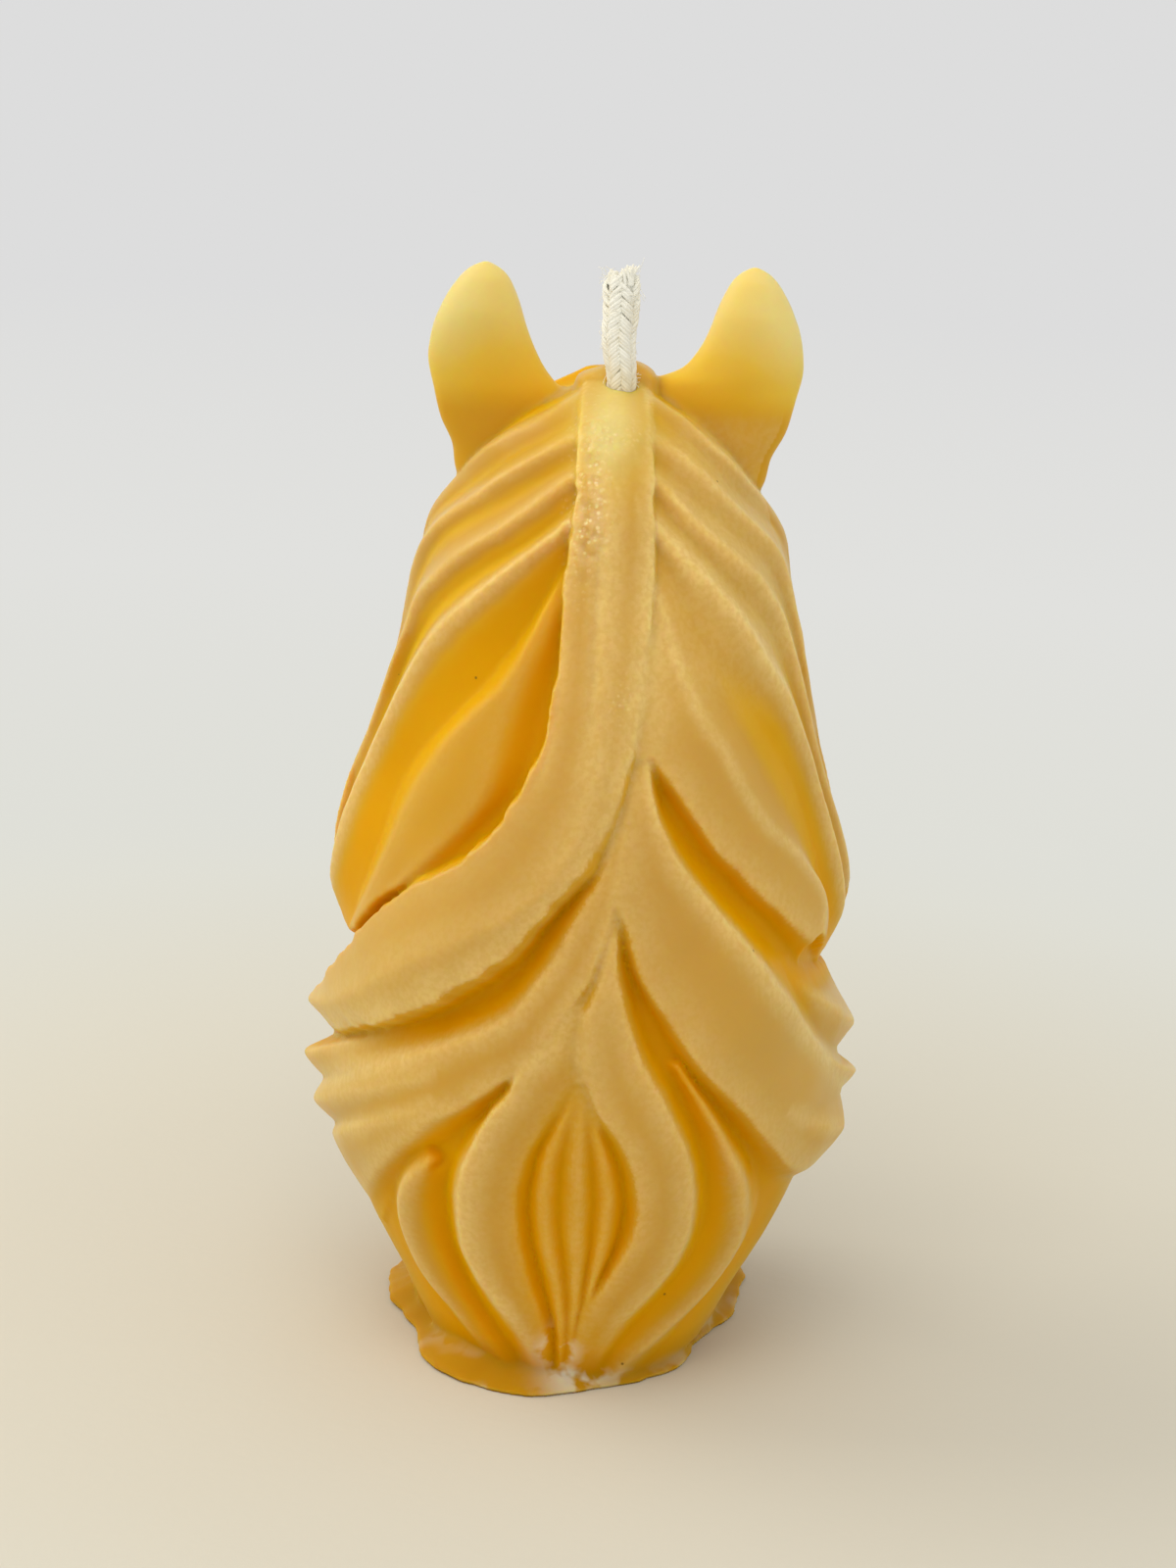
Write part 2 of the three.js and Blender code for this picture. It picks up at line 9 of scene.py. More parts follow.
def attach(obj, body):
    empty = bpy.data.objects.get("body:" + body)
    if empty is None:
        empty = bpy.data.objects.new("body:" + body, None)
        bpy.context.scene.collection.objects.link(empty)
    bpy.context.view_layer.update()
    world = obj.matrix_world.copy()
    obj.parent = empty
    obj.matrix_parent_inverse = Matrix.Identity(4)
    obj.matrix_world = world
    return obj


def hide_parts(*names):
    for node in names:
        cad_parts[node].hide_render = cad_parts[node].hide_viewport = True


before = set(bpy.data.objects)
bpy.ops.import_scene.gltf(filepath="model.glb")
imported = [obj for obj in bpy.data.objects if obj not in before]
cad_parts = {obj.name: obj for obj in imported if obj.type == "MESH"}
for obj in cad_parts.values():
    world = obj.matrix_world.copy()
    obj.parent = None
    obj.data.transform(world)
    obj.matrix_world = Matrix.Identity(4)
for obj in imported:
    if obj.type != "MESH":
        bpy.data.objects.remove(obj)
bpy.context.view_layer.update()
mm = 0.001

# Camera: it looks at the back of the candle from a little above, close enough for some
# perspective, and is tipped a few degrees to one side, as a picture taken by hand is.
CAMERA_AIM = Vector((0.45, 0, 46)) * mm
CAMERA_DISTANCE = 268 * mm
CAMERA_RISE = math.radians(15)
CAMERA_ROLL = math.radians(3)
CAMERA_LENS = 74.25  # on the default 36 mm sensor, along the frame's height

back = Vector((0, math.cos(CAMERA_RISE), math.sin(CAMERA_RISE)))
level = Vector((-1, 0, 0))
upright = Vector((0, -math.sin(CAMERA_RISE), math.cos(CAMERA_RISE)))
right = level * math.cos(CAMERA_ROLL) + upright * math.sin(CAMERA_ROLL)
up = upright * math.cos(CAMERA_ROLL) - level * math.sin(CAMERA_ROLL)
camera = bpy.data.objects.new("camera", bpy.data.cameras.new("camera"))
camera.matrix_world = Matrix.Translation(CAMERA_AIM + back * CAMERA_DISTANCE) @ Matrix(
    (right, up, back)
).transposed().to_4x4()
camera.data.lens = CAMERA_LENS
camera.data.clip_start = 10 * mm
camera.data.clip_end = 20
bpy.context.scene.collection.objects.link(camera)
bpy.context.scene.camera = camera
bpy.context.scene.view_settings.view_transform = "Standard"

# Table: a wide sheet of warm white paper that fades to the pale grey of the room.
# Near the candle it takes its shadow, and further off it is an even backdrop.
TABLE_RADIUS = 6.0
TABLE_SIDES = 64
FIBRES = 900.0  # of the paper, in a metre
PAPER_COLOR = "#d7d5cc"
PAPER_FAR_COLOR = "#dfdfd7"
HAZE_COLOR = "#e1e1de"
ROOM_COLOR = "#dddddd"
FADE_START = 0.05  # metres from the candle, where the even backdrop begins to show
FADE_END = 0.16


def linear(code):
    """An sRGB colour, written #rrggbb, as the linear colour that shaders take."""
    parts = [int(code[i : i + 2], 16) / 255 for i in (1, 3, 5)]
    return (*[c / 12.92 if c <= 0.04045 else ((c + 0.055) / 1.055) ** 2.4 for c in parts], 1)


def node(material, kind, settings=None, stops=(), **links):
    """Adds a node: its settings, the stops of a ramp, and its sockets' values or what is linked to them."""
    made = material.node_tree.nodes.new("ShaderNode" + kind)
    for name, value in (settings or {}).items():
        setattr(made, name, value)
    for i, (place, color) in enumerate(stops):
        stop = made.color_ramp.elements[i] if i < 2 else made.color_ramp.elements.new(place)
        stop.position, stop.color = place, color
    for name, value in links.items():
        key = int(name[1:]) if name[1:].isdigit() else name.replace("_", " ")
        if isinstance(value, bpy.types.NodeSocket):
            material.node_tree.links.new(value, made.inputs[key])
        else:
            made.inputs[key].default_value = value
    return made


def fresh(name):
    """A new material with nodes and nothing in it but its output."""
    material = bpy.data.materials.new(name)
    material.use_nodes = True
    material.node_tree.nodes.clear()
    return material, material.node_tree.nodes.new("ShaderNodeOutputMaterial")


paper, paper_out = fresh("warm_white_paper")
paper_place = node(paper, "NewGeometry").outputs["Position"]
paper_flat = node(paper, "VectorMath", {"operation": "LENGTH"}, _0=paper_place).outputs["Value"]
# Metres from the candle, and the colour of the paper there
paper_tones = [(0.05, PAPER_COLOR), (0.13, PAPER_FAR_COLOR), (0.32, HAZE_COLOR), (0.75, ROOM_COLOR)]
paper_color = node(
    paper, "ValToRGB", stops=[(place, linear(color)) for place, color in paper_tones], Fac=paper_flat
).outputs[0]
paper_fibres = node(paper, "TexNoise", Vector=paper_place, Scale=FIBRES, Detail=4.0)
paper_bump = node(paper, "Bump", Height=paper_fibres.outputs[0], Distance=0.0001, Strength=0.3)
paper_skin = node(
    paper, "BsdfPrincipled", Base_Color=paper_color, Roughness=0.85, Normal=paper_bump.outputs[0]
)
paper_glow = node(paper, "Emission", Color=paper_color, Strength=1.0)
paper_fade = node(
    paper,
    "MapRange",
    {"interpolation_type": "SMOOTHSTEP"},
    Value=paper_flat,
    From_Min=FADE_START,
    From_Max=FADE_END,
)
paper_seen = node(
    paper, "MixShader", _0=paper_fade.outputs[0], _1=paper_skin.outputs[0], _2=paper_glow.outputs[0]
)
paper.node_tree.links.new(paper_seen.outputs[0], paper_out.inputs[0])

around_table = np.linspace(0, 2 * math.pi, TABLE_SIDES + 1)[:-1]
table_ring = [(TABLE_RADIUS * math.cos(t), TABLE_RADIUS * math.sin(t), 0) for t in around_table]
table_faces = [(0, i + 1, (i + 1) % TABLE_SIDES + 1) for i in range(TABLE_SIDES)]
table_mesh = bpy.data.meshes.new("table")
table_mesh.from_pydata([(0, 0, 0), *table_ring], [], table_faces)
table = bpy.data.objects.new("table", table_mesh)
table.data.materials.append(paper)
bpy.context.scene.collection.objects.link(table)

# Light: two windows alike, one high up by the camera and one on its left, a little beyond the
# candle, and the even light of a pale room from all round.
WINDOW_AWAY = 0.62
WINDOW_SIZE = 0.42
WINDOW_COLOR = "#fff6e4"
ROOM_LEVEL = 0.76
ROOM_LIGHT = "#f8f4ea"
WINDOWS = [  # degrees from +X, the camera's left, towards the camera; degrees up; power
    ("window_front", 76, 58, 1.2),
    ("window_behind", -18, 36, 1.2),
]

for name, turn, rise, power in WINDOWS:
    aside, rise = math.radians(turn), math.radians(rise)
    way = Vector((math.cos(rise) * math.cos(aside), math.cos(rise) * math.sin(aside), math.sin(rise)))
    window = bpy.data.objects.new(name, bpy.data.lights.new(name, "AREA"))
    window.data.size = WINDOW_SIZE
    window.data.energy = power
    window.data.color = linear(WINDOW_COLOR)[:3]
    window.location = CAMERA_AIM + way * WINDOW_AWAY
    window.rotation_mode = "QUATERNION"
    window.rotation_quaternion = way.to_track_quat("Z", "Y")
    bpy.context.scene.collection.objects.link(window)

room = bpy.data.worlds.new("room")
room.use_nodes = True
room.node_tree.nodes.clear()
room_out = room.node_tree.nodes.new("ShaderNodeOutputWorld")
room_light = node(room, "Background", Color=linear(ROOM_LIGHT), Strength=ROOM_LEVEL)
room_seen = node(room, "Background", Color=linear(ROOM_COLOR), Strength=1.0)
room_rays = node(room, "LightPath").outputs
shows_room = room_rays["Is Camera Ray"]
for ray in ("Is Glossy Ray", "Is Transmission Ray"):
    shows_room = node(room, "Math", {"operation": "MAXIMUM"}, _0=shows_room, _1=room_rays[ray]).outputs[0]
room_mix = node(room, "MixShader", _0=shows_room, _1=room_light.outputs[0], _2=room_seen.outputs[0])
room.node_tree.links.new(room_mix.outputs[0], room_out.inputs[0])
bpy.context.scene.world = room

# The wax casting, its mane: thick locks of hair cut deep into the back and the sides, poured in
# beeswax in one piece with the head. Their edges stay crisp where the mould was crisp, and
# the wax is rubbed pale along them. All of its sizes are in millimetres, as the mould's are.
CROWN = 80.4  # height of the top of the head between the ears
GROOVE = 3.0  # from the tops of the locks down to the deepest valleys between them
AXIS_Y = -2.0
SQUARENESS = 2.2  # of a level section: 2 is an ellipse, more is squarer
DEGREE = 0.3  # mm of the mane's surface in one degree, to measure along and across a lock
MANE_LAP = 7  # degrees over which the mane thins out past its front edge
SPAN_STEP = 0.09  # mm between the points that the surface between two lines is drawn with


def through(points):
    """A smooth function through (where, value) points."""
    where, value = np.array(points, float).T
    slope = np.empty_like(value)
    slope[1:-1] = (value[2:] - value[:-2]) / (where[2:] - where[:-2])
    slope[0] = (value[1] - value[0]) / (where[1] - where[0])
    slope[-1] = (value[-1] - value[-2]) / (where[-1] - where[-2])

    def at(place):
        place = np.asarray(place, float)
        i = np.clip(np.searchsorted(where, place, side="right") - 1, 0, len(where) - 2)
        span = where[i + 1] - where[i]
        t = np.clip((place - where[i]) / span, 0, 1)
        ends = (2 * t**3 - 3 * t**2 + 1) * value[i] + (3 * t**2 - 2 * t**3) * value[i + 1]
        return ends + ((t**3 - 2 * t**2 + t) * slope[i] + (t**3 - t**2) * slope[i + 1]) * span

    return at


def smooth_line(points, shares):
    """Points at shares of the length of a smooth line through points."""
    points = np.array(points, float)
    steps = np.sqrt(np.linalg.norm(np.diff(points, axis=0) * [DEGREE, 1], axis=1))
    knots = np.concatenate([[0], np.cumsum(steps)])
    fine = np.linspace(0, knots[-1], 400)
    drawn = np.stack([through(np.stack([knots, column], 1))(fine) for column in points.T], 1)
    run = np.concatenate([[0], np.cumsum(np.linalg.norm(np.diff(drawn, axis=0) * [DEGREE, 1], axis=1))])
    return np.stack([np.interp(np.asarray(shares) * run[-1], run, column) for column in drawn.T], 1)


def grain(points, size, seed):
    """Smooth random values from -1 to 1 that change over about size, in the points' unit."""
    cell = np.asarray(points, float) / size
    low = np.floor(cell).astype(np.int64)
    part = cell - low
    part = part * part * (3 - 2 * part)
    total = np.zeros(len(cell))
    for corner in np.ndindex(*[2] * cell.shape[1]):
        at = low + corner
        key = np.full(len(cell), seed * 2654435761 % 2**32, np.int64)
        for column, prime in zip(at.T, (73856093, 19349663, 83492791)):
            key = (key ^ (column * prime)) & 0xFFFFFFFF
            key = ((key ^ (key >> 15)) * 2246822519) & 0xFFFFFFFF
        key ^= key >> 13
        weight = np.prod(np.where(np.array(corner) == 1, part, 1 - part), axis=1)
        total += weight * ((key & 0xFFFF) / 32767.5 - 1)
    return total


def eased(low, high, value):
    """0 below low, 1 above high, and smooth between."""
    t = np.clip((value - low) / (high - low), 0, 1)
    return t * t * (3 - 2 * t)


half_width = through([
    (0, 13.2), (5, 15.4), (10, 18), (15, 20), (20, 21.2), (25, 21.5), (30, 21.3), (38, 22), (43, 21.1),
    (50, 19), (57, 17.2), (65, 15.6), (68, 14.7), (71.5, 12.5), (75, 10.6), (78, 7.6), (CROWN, 3),
])
reach_back = through([
    (0, 20.4), (3, 21.2), (8, 23.2), (15, 25.7), (22, 27.5), (30, 28.4), (40, 27.9), (50, 25.5),
    (60, 22), (66, 19.5), (72, 16.6), (76, 13.8), (78, 11.3), (79, 9.2), (79.6, 7.4), (CROWN, 5),
])
reach_front = through([(0, 15.5), (8, 15), (16, 13), (24, 11), (32, 10), (60, 9.5), (72, 7), (CROWN, 3)])
reach_under = through([
    (0, 15.5), (8, 14.6), (16, 12.2), (24, 8.8), (32, 5.6), (40, 3.5), (72, 3.5), (CROWN, 2),
])
mane_edge = through([
    (0, 95), (12, 98), (27, 103), (34, 108), (41, 123), (48, 125), (57, 120), (66, 109), (73, 91),
    (77.6, 67), (CROWN, 40),
])


def mane_point(angle, z, rise):
    """A point of the mane: degrees from the back towards +X, a height, and a rise from the grooves."""
    s, c = np.sin(np.radians(angle)), np.cos(np.radians(angle))
    out = rise - GROOVE
    lapped = 1 - eased(0, MANE_LAP, np.abs(angle) - mane_edge(z))
    front = reach_under(z) + (reach_front(z) - reach_under(z)) * lapped
    reach = np.where(c > 0, reach_back(z), front) + out
    x = (half_width(z) + out) * np.sign(s) * np.abs(s) ** (2 / SQUARENESS)
    y = AXIS_Y + np.maximum(reach, 1) * np.sign(c) * np.abs(c) ** (2 / SQUARENESS)
    return np.stack([x, y, z + 0 * x], -1)


def spread(value, share):
    """A value, or values given evenly along a line, at shares of its length."""
    values = np.atleast_1d(value).astype(float)
    return np.interp(share, np.linspace(0, 1, len(values)), values)


class Edge:
    """A line along a lock: (degrees, height) points, how far it stands out and how rubbed it is."""

    def __init__(self, points, out, rubbed=0.0, fade=0.8, ragged=0.04):
        share = np.linspace(0, 1, 900)
        self.points = smooth_line(points, share)
        along = np.gradient(self.points * [DEGREE, 1], axis=0)
        step = np.linalg.norm(along, axis=1)[:, None]
        run = np.cumsum(step)[:, None]
        seed = int(abs(points[0][0]) * 10 + points[0][1] * 7)
        shift = ragged * (grain(run, 1.3, seed) + 0.6 * grain(run, 0.45, seed + 1))
        self.points += np.stack([-along[:, 1], along[:, 0]], 1) / step * shift[:, None] / [DEGREE, 1]
        self.out = spread(out, share)
        self.rubbed = spread(rubbed, share)
        self.fade = fade

    def part(self, top, bottom):
        """The stretch of this line between two heights."""
        kept = np.nonzero((self.points[:, 1] <= top) & (self.points[:, 1] >= bottom))[0]
        every = np.arange(len(self.points))
        at = np.linspace(kept[0], kept[-1], len(every))
        stretch = copy.copy(self)
        stretch.points = np.stack([np.interp(at, every, column) for column in self.points.T], 1)
        stretch.out = np.interp(at, every, self.out)
        stretch.rubbed = np.interp(at, every, self.rubbed)
        return stretch


class Relief:
    """How far a surface stands out and how rubbed it is, by degrees round it and places along it."""

    def __init__(self, start, end, step, columns=720):
        self.start, self.step, self.columns = start, step, columns
        self.rows = round((end - start) / step) + 1
        self.height = np.zeros((self.rows, columns))
        self.rub = np.zeros((self.rows, columns))
        self.angles = (np.arange(columns) / columns - 0.5) * 360
        self.places = start + np.arange(self.rows) * step

    def cells(self, angle, place):
        """The row and the column of the grid at an angle and a place."""
        row = np.clip(np.rint((place - self.start) / self.step).astype(int), 0, self.rows - 1)
        return row, np.rint((angle / 360 + 0.5) * self.columns).astype(int) % self.columns

    def span(self, high, low, crown=1.0, dip=1.0):
        """Draws a surface between two lines: crown rounds it at the first, dip hollows it at the second."""
        across = low.points - high.points
        width = np.linalg.norm(across * [DEGREE, 1], axis=1)[:, None]
        share = np.linspace(0, 1, max(12, int(width.max() / SPAN_STEP)))
        height = high.out[:, None] + (low.out - high.out)[:, None] * (1 - (1 - share**crown) ** dip)
        rub = np.maximum(
            high.rubbed[:, None] * np.exp(-((width * share / high.fade) ** 2)),
            low.rubbed[:, None] * np.exp(-((width * (1 - share) / low.fade) ** 2)),
        )
        angle, place = (high.points[:, i, None] + across[:, i, None] * share for i in (0, 1))
        where = self.cells(angle, place)
        np.maximum.at(self.height, where, height)
        np.maximum.at(self.rub, where, rub)

    def lock(self, above, crest, below, climb=(1.1, 1.4), fall=(1.0, 1.4)):
        """A lock that climbs from the foot above it to its crest and falls to the foot below."""
        self.span(crest, above, *climb)
        self.span(crest, below, *fall)

    def bump(self, angle, place, wide, long, height, scale=0.18, power=2):
        """A soft swelling or hollow. Wide and long are its half-sizes, and scale is a degree's length."""
        turn = (self.angles - angle + 180) % 360 - 180
        far = np.hypot((turn * scale / wide)[None, :], ((self.places - place) / long)[:, None])
        self.height += height * np.exp(-(far**power))

    def trench(self, line, width, depth):
        """Presses a soft groove along a line, fading out at its ends."""
        share = np.linspace(0, 1, 220)
        points = smooth_line(line, share)
        sunk = np.zeros_like(self.height)
        for (angle, place), end in zip(points, np.sin(np.pi * share) ** 0.5):
            row, column = self.cells(np.array(angle), np.array(place))
            reach = int(3 * width / self.step) + 1
            rows = np.arange(max(row - reach, 0), min(row + reach + 1, self.rows))
            turn = (self.angles - angle + 180) % 360 - 180
            columns = np.nonzero(np.abs(turn) * DEGREE < 3 * width)[0]
            far = (self.places[rows] - place)[:, None] ** 2 + (turn[columns] * DEGREE)[None, :] ** 2
            block = np.ix_(rows, columns)
            sunk[block] = np.maximum(sunk[block], depth * end * np.exp(-far / width**2))
        self.height -= sunk

    def soften(self, cells):
        """Evens the steps of the grid out over so many cells."""
        reach = int(3 * cells)
        weights = np.exp(-0.5 * (np.arange(-reach, reach + 1) / cells) ** 2)
        weights /= weights.sum()
        for name in ("height", "rub"):
            grid = getattr(self, name)
            tall = np.pad(grid, ((reach, reach), (0, 0)), mode="edge")
            grid = sum(w * tall[i : i + self.rows] for i, w in enumerate(weights))
            grid = sum(w * np.roll(grid, i - reach, axis=1) for i, w in enumerate(weights))
            setattr(self, name, grid)


# The upper fans, from the ear down: each lock's crest, then the foot between it and the next
left_fan = [
    Edge([(26, 80.3), (60, 77.6), (84, 74), (100, 69), (112, 61), (120, 52)], 1.6),
    Edge([
        (22, 80), (36, 78.4), (45, 77), (61, 75), (77, 72.2), (92, 68), (106, 61), (115, 52), (121, 44),
    ], 3, 0.35, 0.6),
    Edge([
        (8, 78.6), (22, 77.4), (33, 76.2), (45.5, 74.8), (58.5, 73), (68, 71.4), (83, 69), (95, 64.6),
        (105, 57), (110, 50),
    ], (2.3, 2.1, 2.0)),
    Edge([
        (6, 77.6), (15.5, 76.7), (25.5, 75.6), (36, 74.2), (47, 72.6), (56, 70.8), (64.5, 69.2),
        (71.5, 67.4), (81, 64.8), (91, 60.4), (100, 53), (106, 46), (112, 39),
    ], 3, 0.45, 0.6),
    Edge([
        (6, 76), (15.5, 74.8), (24.5, 73.6), (35.5, 72), (47, 70.2), (55.5, 69), (66, 67), (77, 64),
        (88, 59.6), (96, 53), (101, 46),
    ], 2.1),
    Edge([
        (6, 75), (13, 73.8), (24, 71.8), (36, 69.2), (44.5, 67.6), (52, 66), (60, 64.2), (67.5, 62.2),
        (73.5, 58.6), (80, 54.6), (87, 49), (94, 43), (101, 37.6),
    ], 3, 0.5, 0.6),
    Edge([
        (6, 73), (13.5, 71.4), (19.5, 69.8), (25.5, 68.6), (32.5, 67.4), (39.5, 66.2), (47, 64.8),
        (55.5, 63), (65, 60.6), (73, 57.4), (80, 52.6), (86, 47), (90, 41.5),
    ], 1.8),
    Edge([
        (6, 72), (11.5, 70.6), (22, 68), (33, 65.4), (45.5, 62.4), (52.5, 60.4), (58, 58.4), (62.5, 56),
        (66.5, 54), (69, 51.6), (72, 49.2), (74.5, 46.6), (76, 43.6), (78, 40), (82, 36.5), (86, 33.5),
    ], (3, 3, 3, 3, 3, 3, 3, 3, 3, 2.6, 1.6), 0.8, 0.9),
    Edge([
        (6, 69), (13, 66.6), (16, 65), (19.5, 63.4), (24.5, 61.4), (29.5, 59.6), (35.5, 57.4),
        (43, 55.2), (49, 53.2), (55, 51.2), (59, 49), (61, 46.8), (61.5, 44), (62, 42), (64, 39.5),
        (67, 37), (72, 34.5),
    ], (1.6, 1, 0.8, 0.8, 0.8, 0.8, 0.8, 0.9, 1.4)),
]
left_facet = [
    Edge([
        (8, 68), (13, 65.4), (15, 64.2), (19, 61.2), (22, 59.2), (25.5, 57.6), (30, 56.4), (35, 54.8),
        (39.5, 53), (42, 51.2), (45.5, 49.4), (47.5, 47.4), (48.5, 45.6), (50, 43.6), (51.5, 41.5),
        (54, 39), (58, 36.6),
    ], (1.6, 2.2, 2.3, 2.3, 2.3, 2.3, 2.4, 2.6), 0.2, 1.2),
    Edge([
        (8, 67), (12, 64.8), (14.5, 63.2), (16.6, 61.8), (19.4, 60), (21.6, 58), (23.4, 56),
        (24.6, 54.2), (25, 52.6), (25.4, 51), (27, 49.6), (29.4, 48.2), (32.4, 46.8), (35.6, 45.4),
        (39, 44), (43, 42.4), (48, 40.6),
    ], (1.6, 2.2, 2.3, 2.3, 2.3, 2.3, 2.4, 2.6), 0.2, 1.4),
    Edge([
        (8, 65.6), (9.6, 63.4), (10.6, 61.6), (12, 60), (13.6, 58), (14.8, 56), (16, 54), (17.4, 52.4),
        (19, 51), (21, 49.8), (24, 48.4), (27.6, 46.8), (31.6, 45.2), (35.6, 43.9), (40, 42.4),
    ], (1.4, 1.0, 0.8, 0.8, 0.8, 0.8, 1.0, 1.4, 2.0)),
    Edge([
        (7, 64.6), (8.4, 62.6), (8.4, 60.6), (9.2, 58.4), (10.2, 55.8), (11.4, 54.2), (13.4, 52.6),
        (15.2, 51.2), (17.4, 49.6), (21.2, 47.9), (25.4, 46.4), (29.8, 44.9), (33.8, 43.7),
        (38.3, 42.4),
    ], (1.4, 1.0, 0.7, 0.7, 0.7, 0.8, 1.0, 1.4, 2.0)),
]
right_fan = [
    Edge([(-26, 80.3), (-58, 77.8), (-84, 74), (-100, 69), (-112, 61), (-120, 52)], 1.6),
    Edge([
        (-22, 80), (-36, 79), (-44.5, 77.8), (-51.5, 75.8), (-57.5, 74.8), (-63.5, 73.6), (-71.5, 72.2),
        (-81, 70.4), (-93, 66.4), (-106, 60), (-115, 52), (-121, 44),
    ], 3, 0.5),
    Edge([
        (-10, 79), (-28, 77.6), (-37, 76.8), (-43, 75.8), (-47.5, 74.8), (-53.5, 73.4), (-60.5, 72.2),
        (-68, 70.8), (-80.5, 69), (-94, 64.4), (-105, 57), (-110, 50),
    ], 2.2),
    Edge([
        (-8, 77.8), (-20, 76.6), (-27.5, 75.8), (-38.5, 74), (-44, 72.8), (-49.5, 71.8), (-56, 70.4),
        (-61.5, 69), (-66.5, 67.6), (-71, 65.6), (-76, 62.2), (-83, 57), (-92, 51), (-101, 45),
        (-111, 37.6),
    ], 3, 0.5, 0.6),
    Edge([
        (-8, 76), (-20.5, 74.6), (-27, 73.6), (-34, 72), (-40.5, 71), (-46.5, 69.6), (-53, 68.4),
        (-60.5, 66.8), (-68, 64.6), (-75, 61.6), (-82, 56.4), (-90, 50.4), (-98, 45),
    ], 2.2),
    Edge([
        (-8, 75.6), (-17, 73.8), (-22.5, 72.6), (-27, 71.4), (-31.5, 70.2), (-38.5, 68.8),
        (-45.5, 67.2), (-52.5, 65.8), (-58, 64.2), (-63.5, 62.4), (-67, 60.4), (-70.5, 57.6),
        (-73.5, 54.2), (-76, 50.8), (-79.5, 46.6), (-85, 41.5), (-92, 37), (-100, 34.5),
    ], 3, 0.6, 0.6),
    Edge([
        (-8, 73.6), (-18.5, 71.8), (-24, 70.4), (-29, 69), (-34.5, 67.4), (-41.5, 65.6), (-48.5, 64.2),
        (-55, 62.6), (-62, 60.2), (-66.5, 57.4), (-70, 54), (-73, 50), (-76.5, 46), (-81, 41.5),
        (-87, 37.5),
    ], 2.1),
    Edge([
        (-8, 72.4), (-15, 70.4), (-19, 69.2), (-23.5, 68), (-29, 66.6), (-35.5, 65), (-41, 63.4),
        (-46, 61.6), (-51.5, 59.6), (-57.5, 57.6), (-62.5, 55.4), (-66, 53.2), (-69.5, 50.8),
        (-71, 48.6), (-72.5, 46), (-74, 43.2), (-77, 40), (-81, 36.6), (-86, 33.4),
    ], (3, 3, 3, 3, 3, 3, 3, 3, 3, 2.6, 1.6), 0.8, 0.9),
    Edge([
        (-8, 70), (-17, 68), (-21.5, 65.8), (-25, 63.6), (-29.5, 61.8), (-35, 59.8), (-41, 58),
        (-47, 56), (-53, 53.8), (-58, 51.6), (-62, 49.4), (-64, 47.2), (-65.5, 44.8), (-67, 42.2),
        (-69, 39.6), (-72, 36.5), (-76, 33.6),
    ], (2.3, 2.1, 2.0, 1.9, 1.8, 1.7, 1.6, 1.2, 1.2)),
]
right_facet = [
    Edge([
        (-10, 67.6), (-14, 65.4), (-16, 63.6), (-18, 61.8), (-20, 60), (-22, 58.8), (-24.5, 57.2),
        (-27.5, 55.8), (-31, 54.4), (-33.5, 53), (-36, 51.4), (-39, 49.8), (-42.5, 48.2), (-47, 46.8),
        (-51.5, 45.6), (-55.5, 44), (-59.5, 42.4), (-61, 40.6), (-58.5, 38.2),
    ], (2.4, 2.8, 3.0, 3.0, 2.9, 2.8, 2.8, 2.8), 0.7, 0.6),
    Edge([
        (-10, 66), (-13, 63.4), (-13, 59.8), (-12.5, 56.4), (-12.5, 54.2), (-15, 53), (-17.5, 51.8),
        (-20.5, 50.4), (-23.5, 49), (-26, 47.6), (-29.5, 46.2), (-33, 45.2), (-36, 44), (-40, 42.6),
        (-44, 41.4), (-48, 40), (-52.5, 38.8), (-56, 37.8),
    ], (2.4, 2.8, 2.9, 2.9, 2.7, 2.6, 2.5, 2.5), 0.6, 1.8),
    Edge([
        (-12.6, 53.6), (-14.8, 51.8), (-17, 50.6), (-19.5, 49.3), (-22.3, 48), (-25, 46.6), (-28.4, 45),
        (-32, 43.8), (-36.5, 42.2), (-40.5, 41), (-45, 39.6), (-51, 37.6), (-60, 35), (-72, 32.8),
        (-86, 31),
    ], (2.0, 0.3, 0.1, 0.1, 0.1, 0.2, 0.4, 0.8, 1.2, 1.6, 1.8)),
]

# The parting band: two facets that meet in a crease, straight down the crest, then off to +X,
# with a blunt upper end below the wick and a point at the side
band_left = Edge([
    (40, 80.3), (24.5, 79.4), (16.5, 77.8), (13.5, 76), (11.5, 74.4), (10.5, 72.4), (10, 70.2),
    (9.5, 68.2), (10, 66), (9.5, 64), (9.2, 62.2), (9.5, 60.6), (10, 59), (10.5, 57.4), (11, 55.6),
    (12, 54), (14, 52.2), (16, 50.6), (18.5, 49), (22, 47.2), (26.5, 45.6), (32, 44), (36.5, 43),
    (41, 41.6), (46.5, 39.8), (52.5, 37.6), (57.5, 35.8), (67.5, 32.4), (82, 27.8), (94, 25.6),
],
    (3.4, 3.8, 3.8, 3.8, 3.8, 3.8, 3.8, 3.7, 3.5, 3.2, 3.1, 3.2, 3.8, 4.2, 2.4),
    (1, 1, 0.8, 0.4, 0.2, 0.2, 0.3), 2.4, ragged=0.14)
band_crease = Edge([
    (0, 80.4), (0, 76.4), (0, 72), (0, 67.8), (0, 62.2), (0, 57.6), (0, 53.8), (1, 51.6), (2, 49),
    (4.5, 46.8), (7, 44.8), (11, 43), (16, 41.4), (21.5, 40.2), (29.5, 38.2), (38.5, 36), (49.5, 33.2),
    (64, 30), (80, 27.4), (94, 25.4),
],
    (3.6, 4.2, 4.3, 4.3, 4.3, 4.3, 4.3, 4.3, 4.3, 4.2, 4.1, 4.1, 4.3, 4.8, 2.6),
    (1, 1, 0.8, 0.5, 0.4, 0.4), 2.0, ragged=0.02)
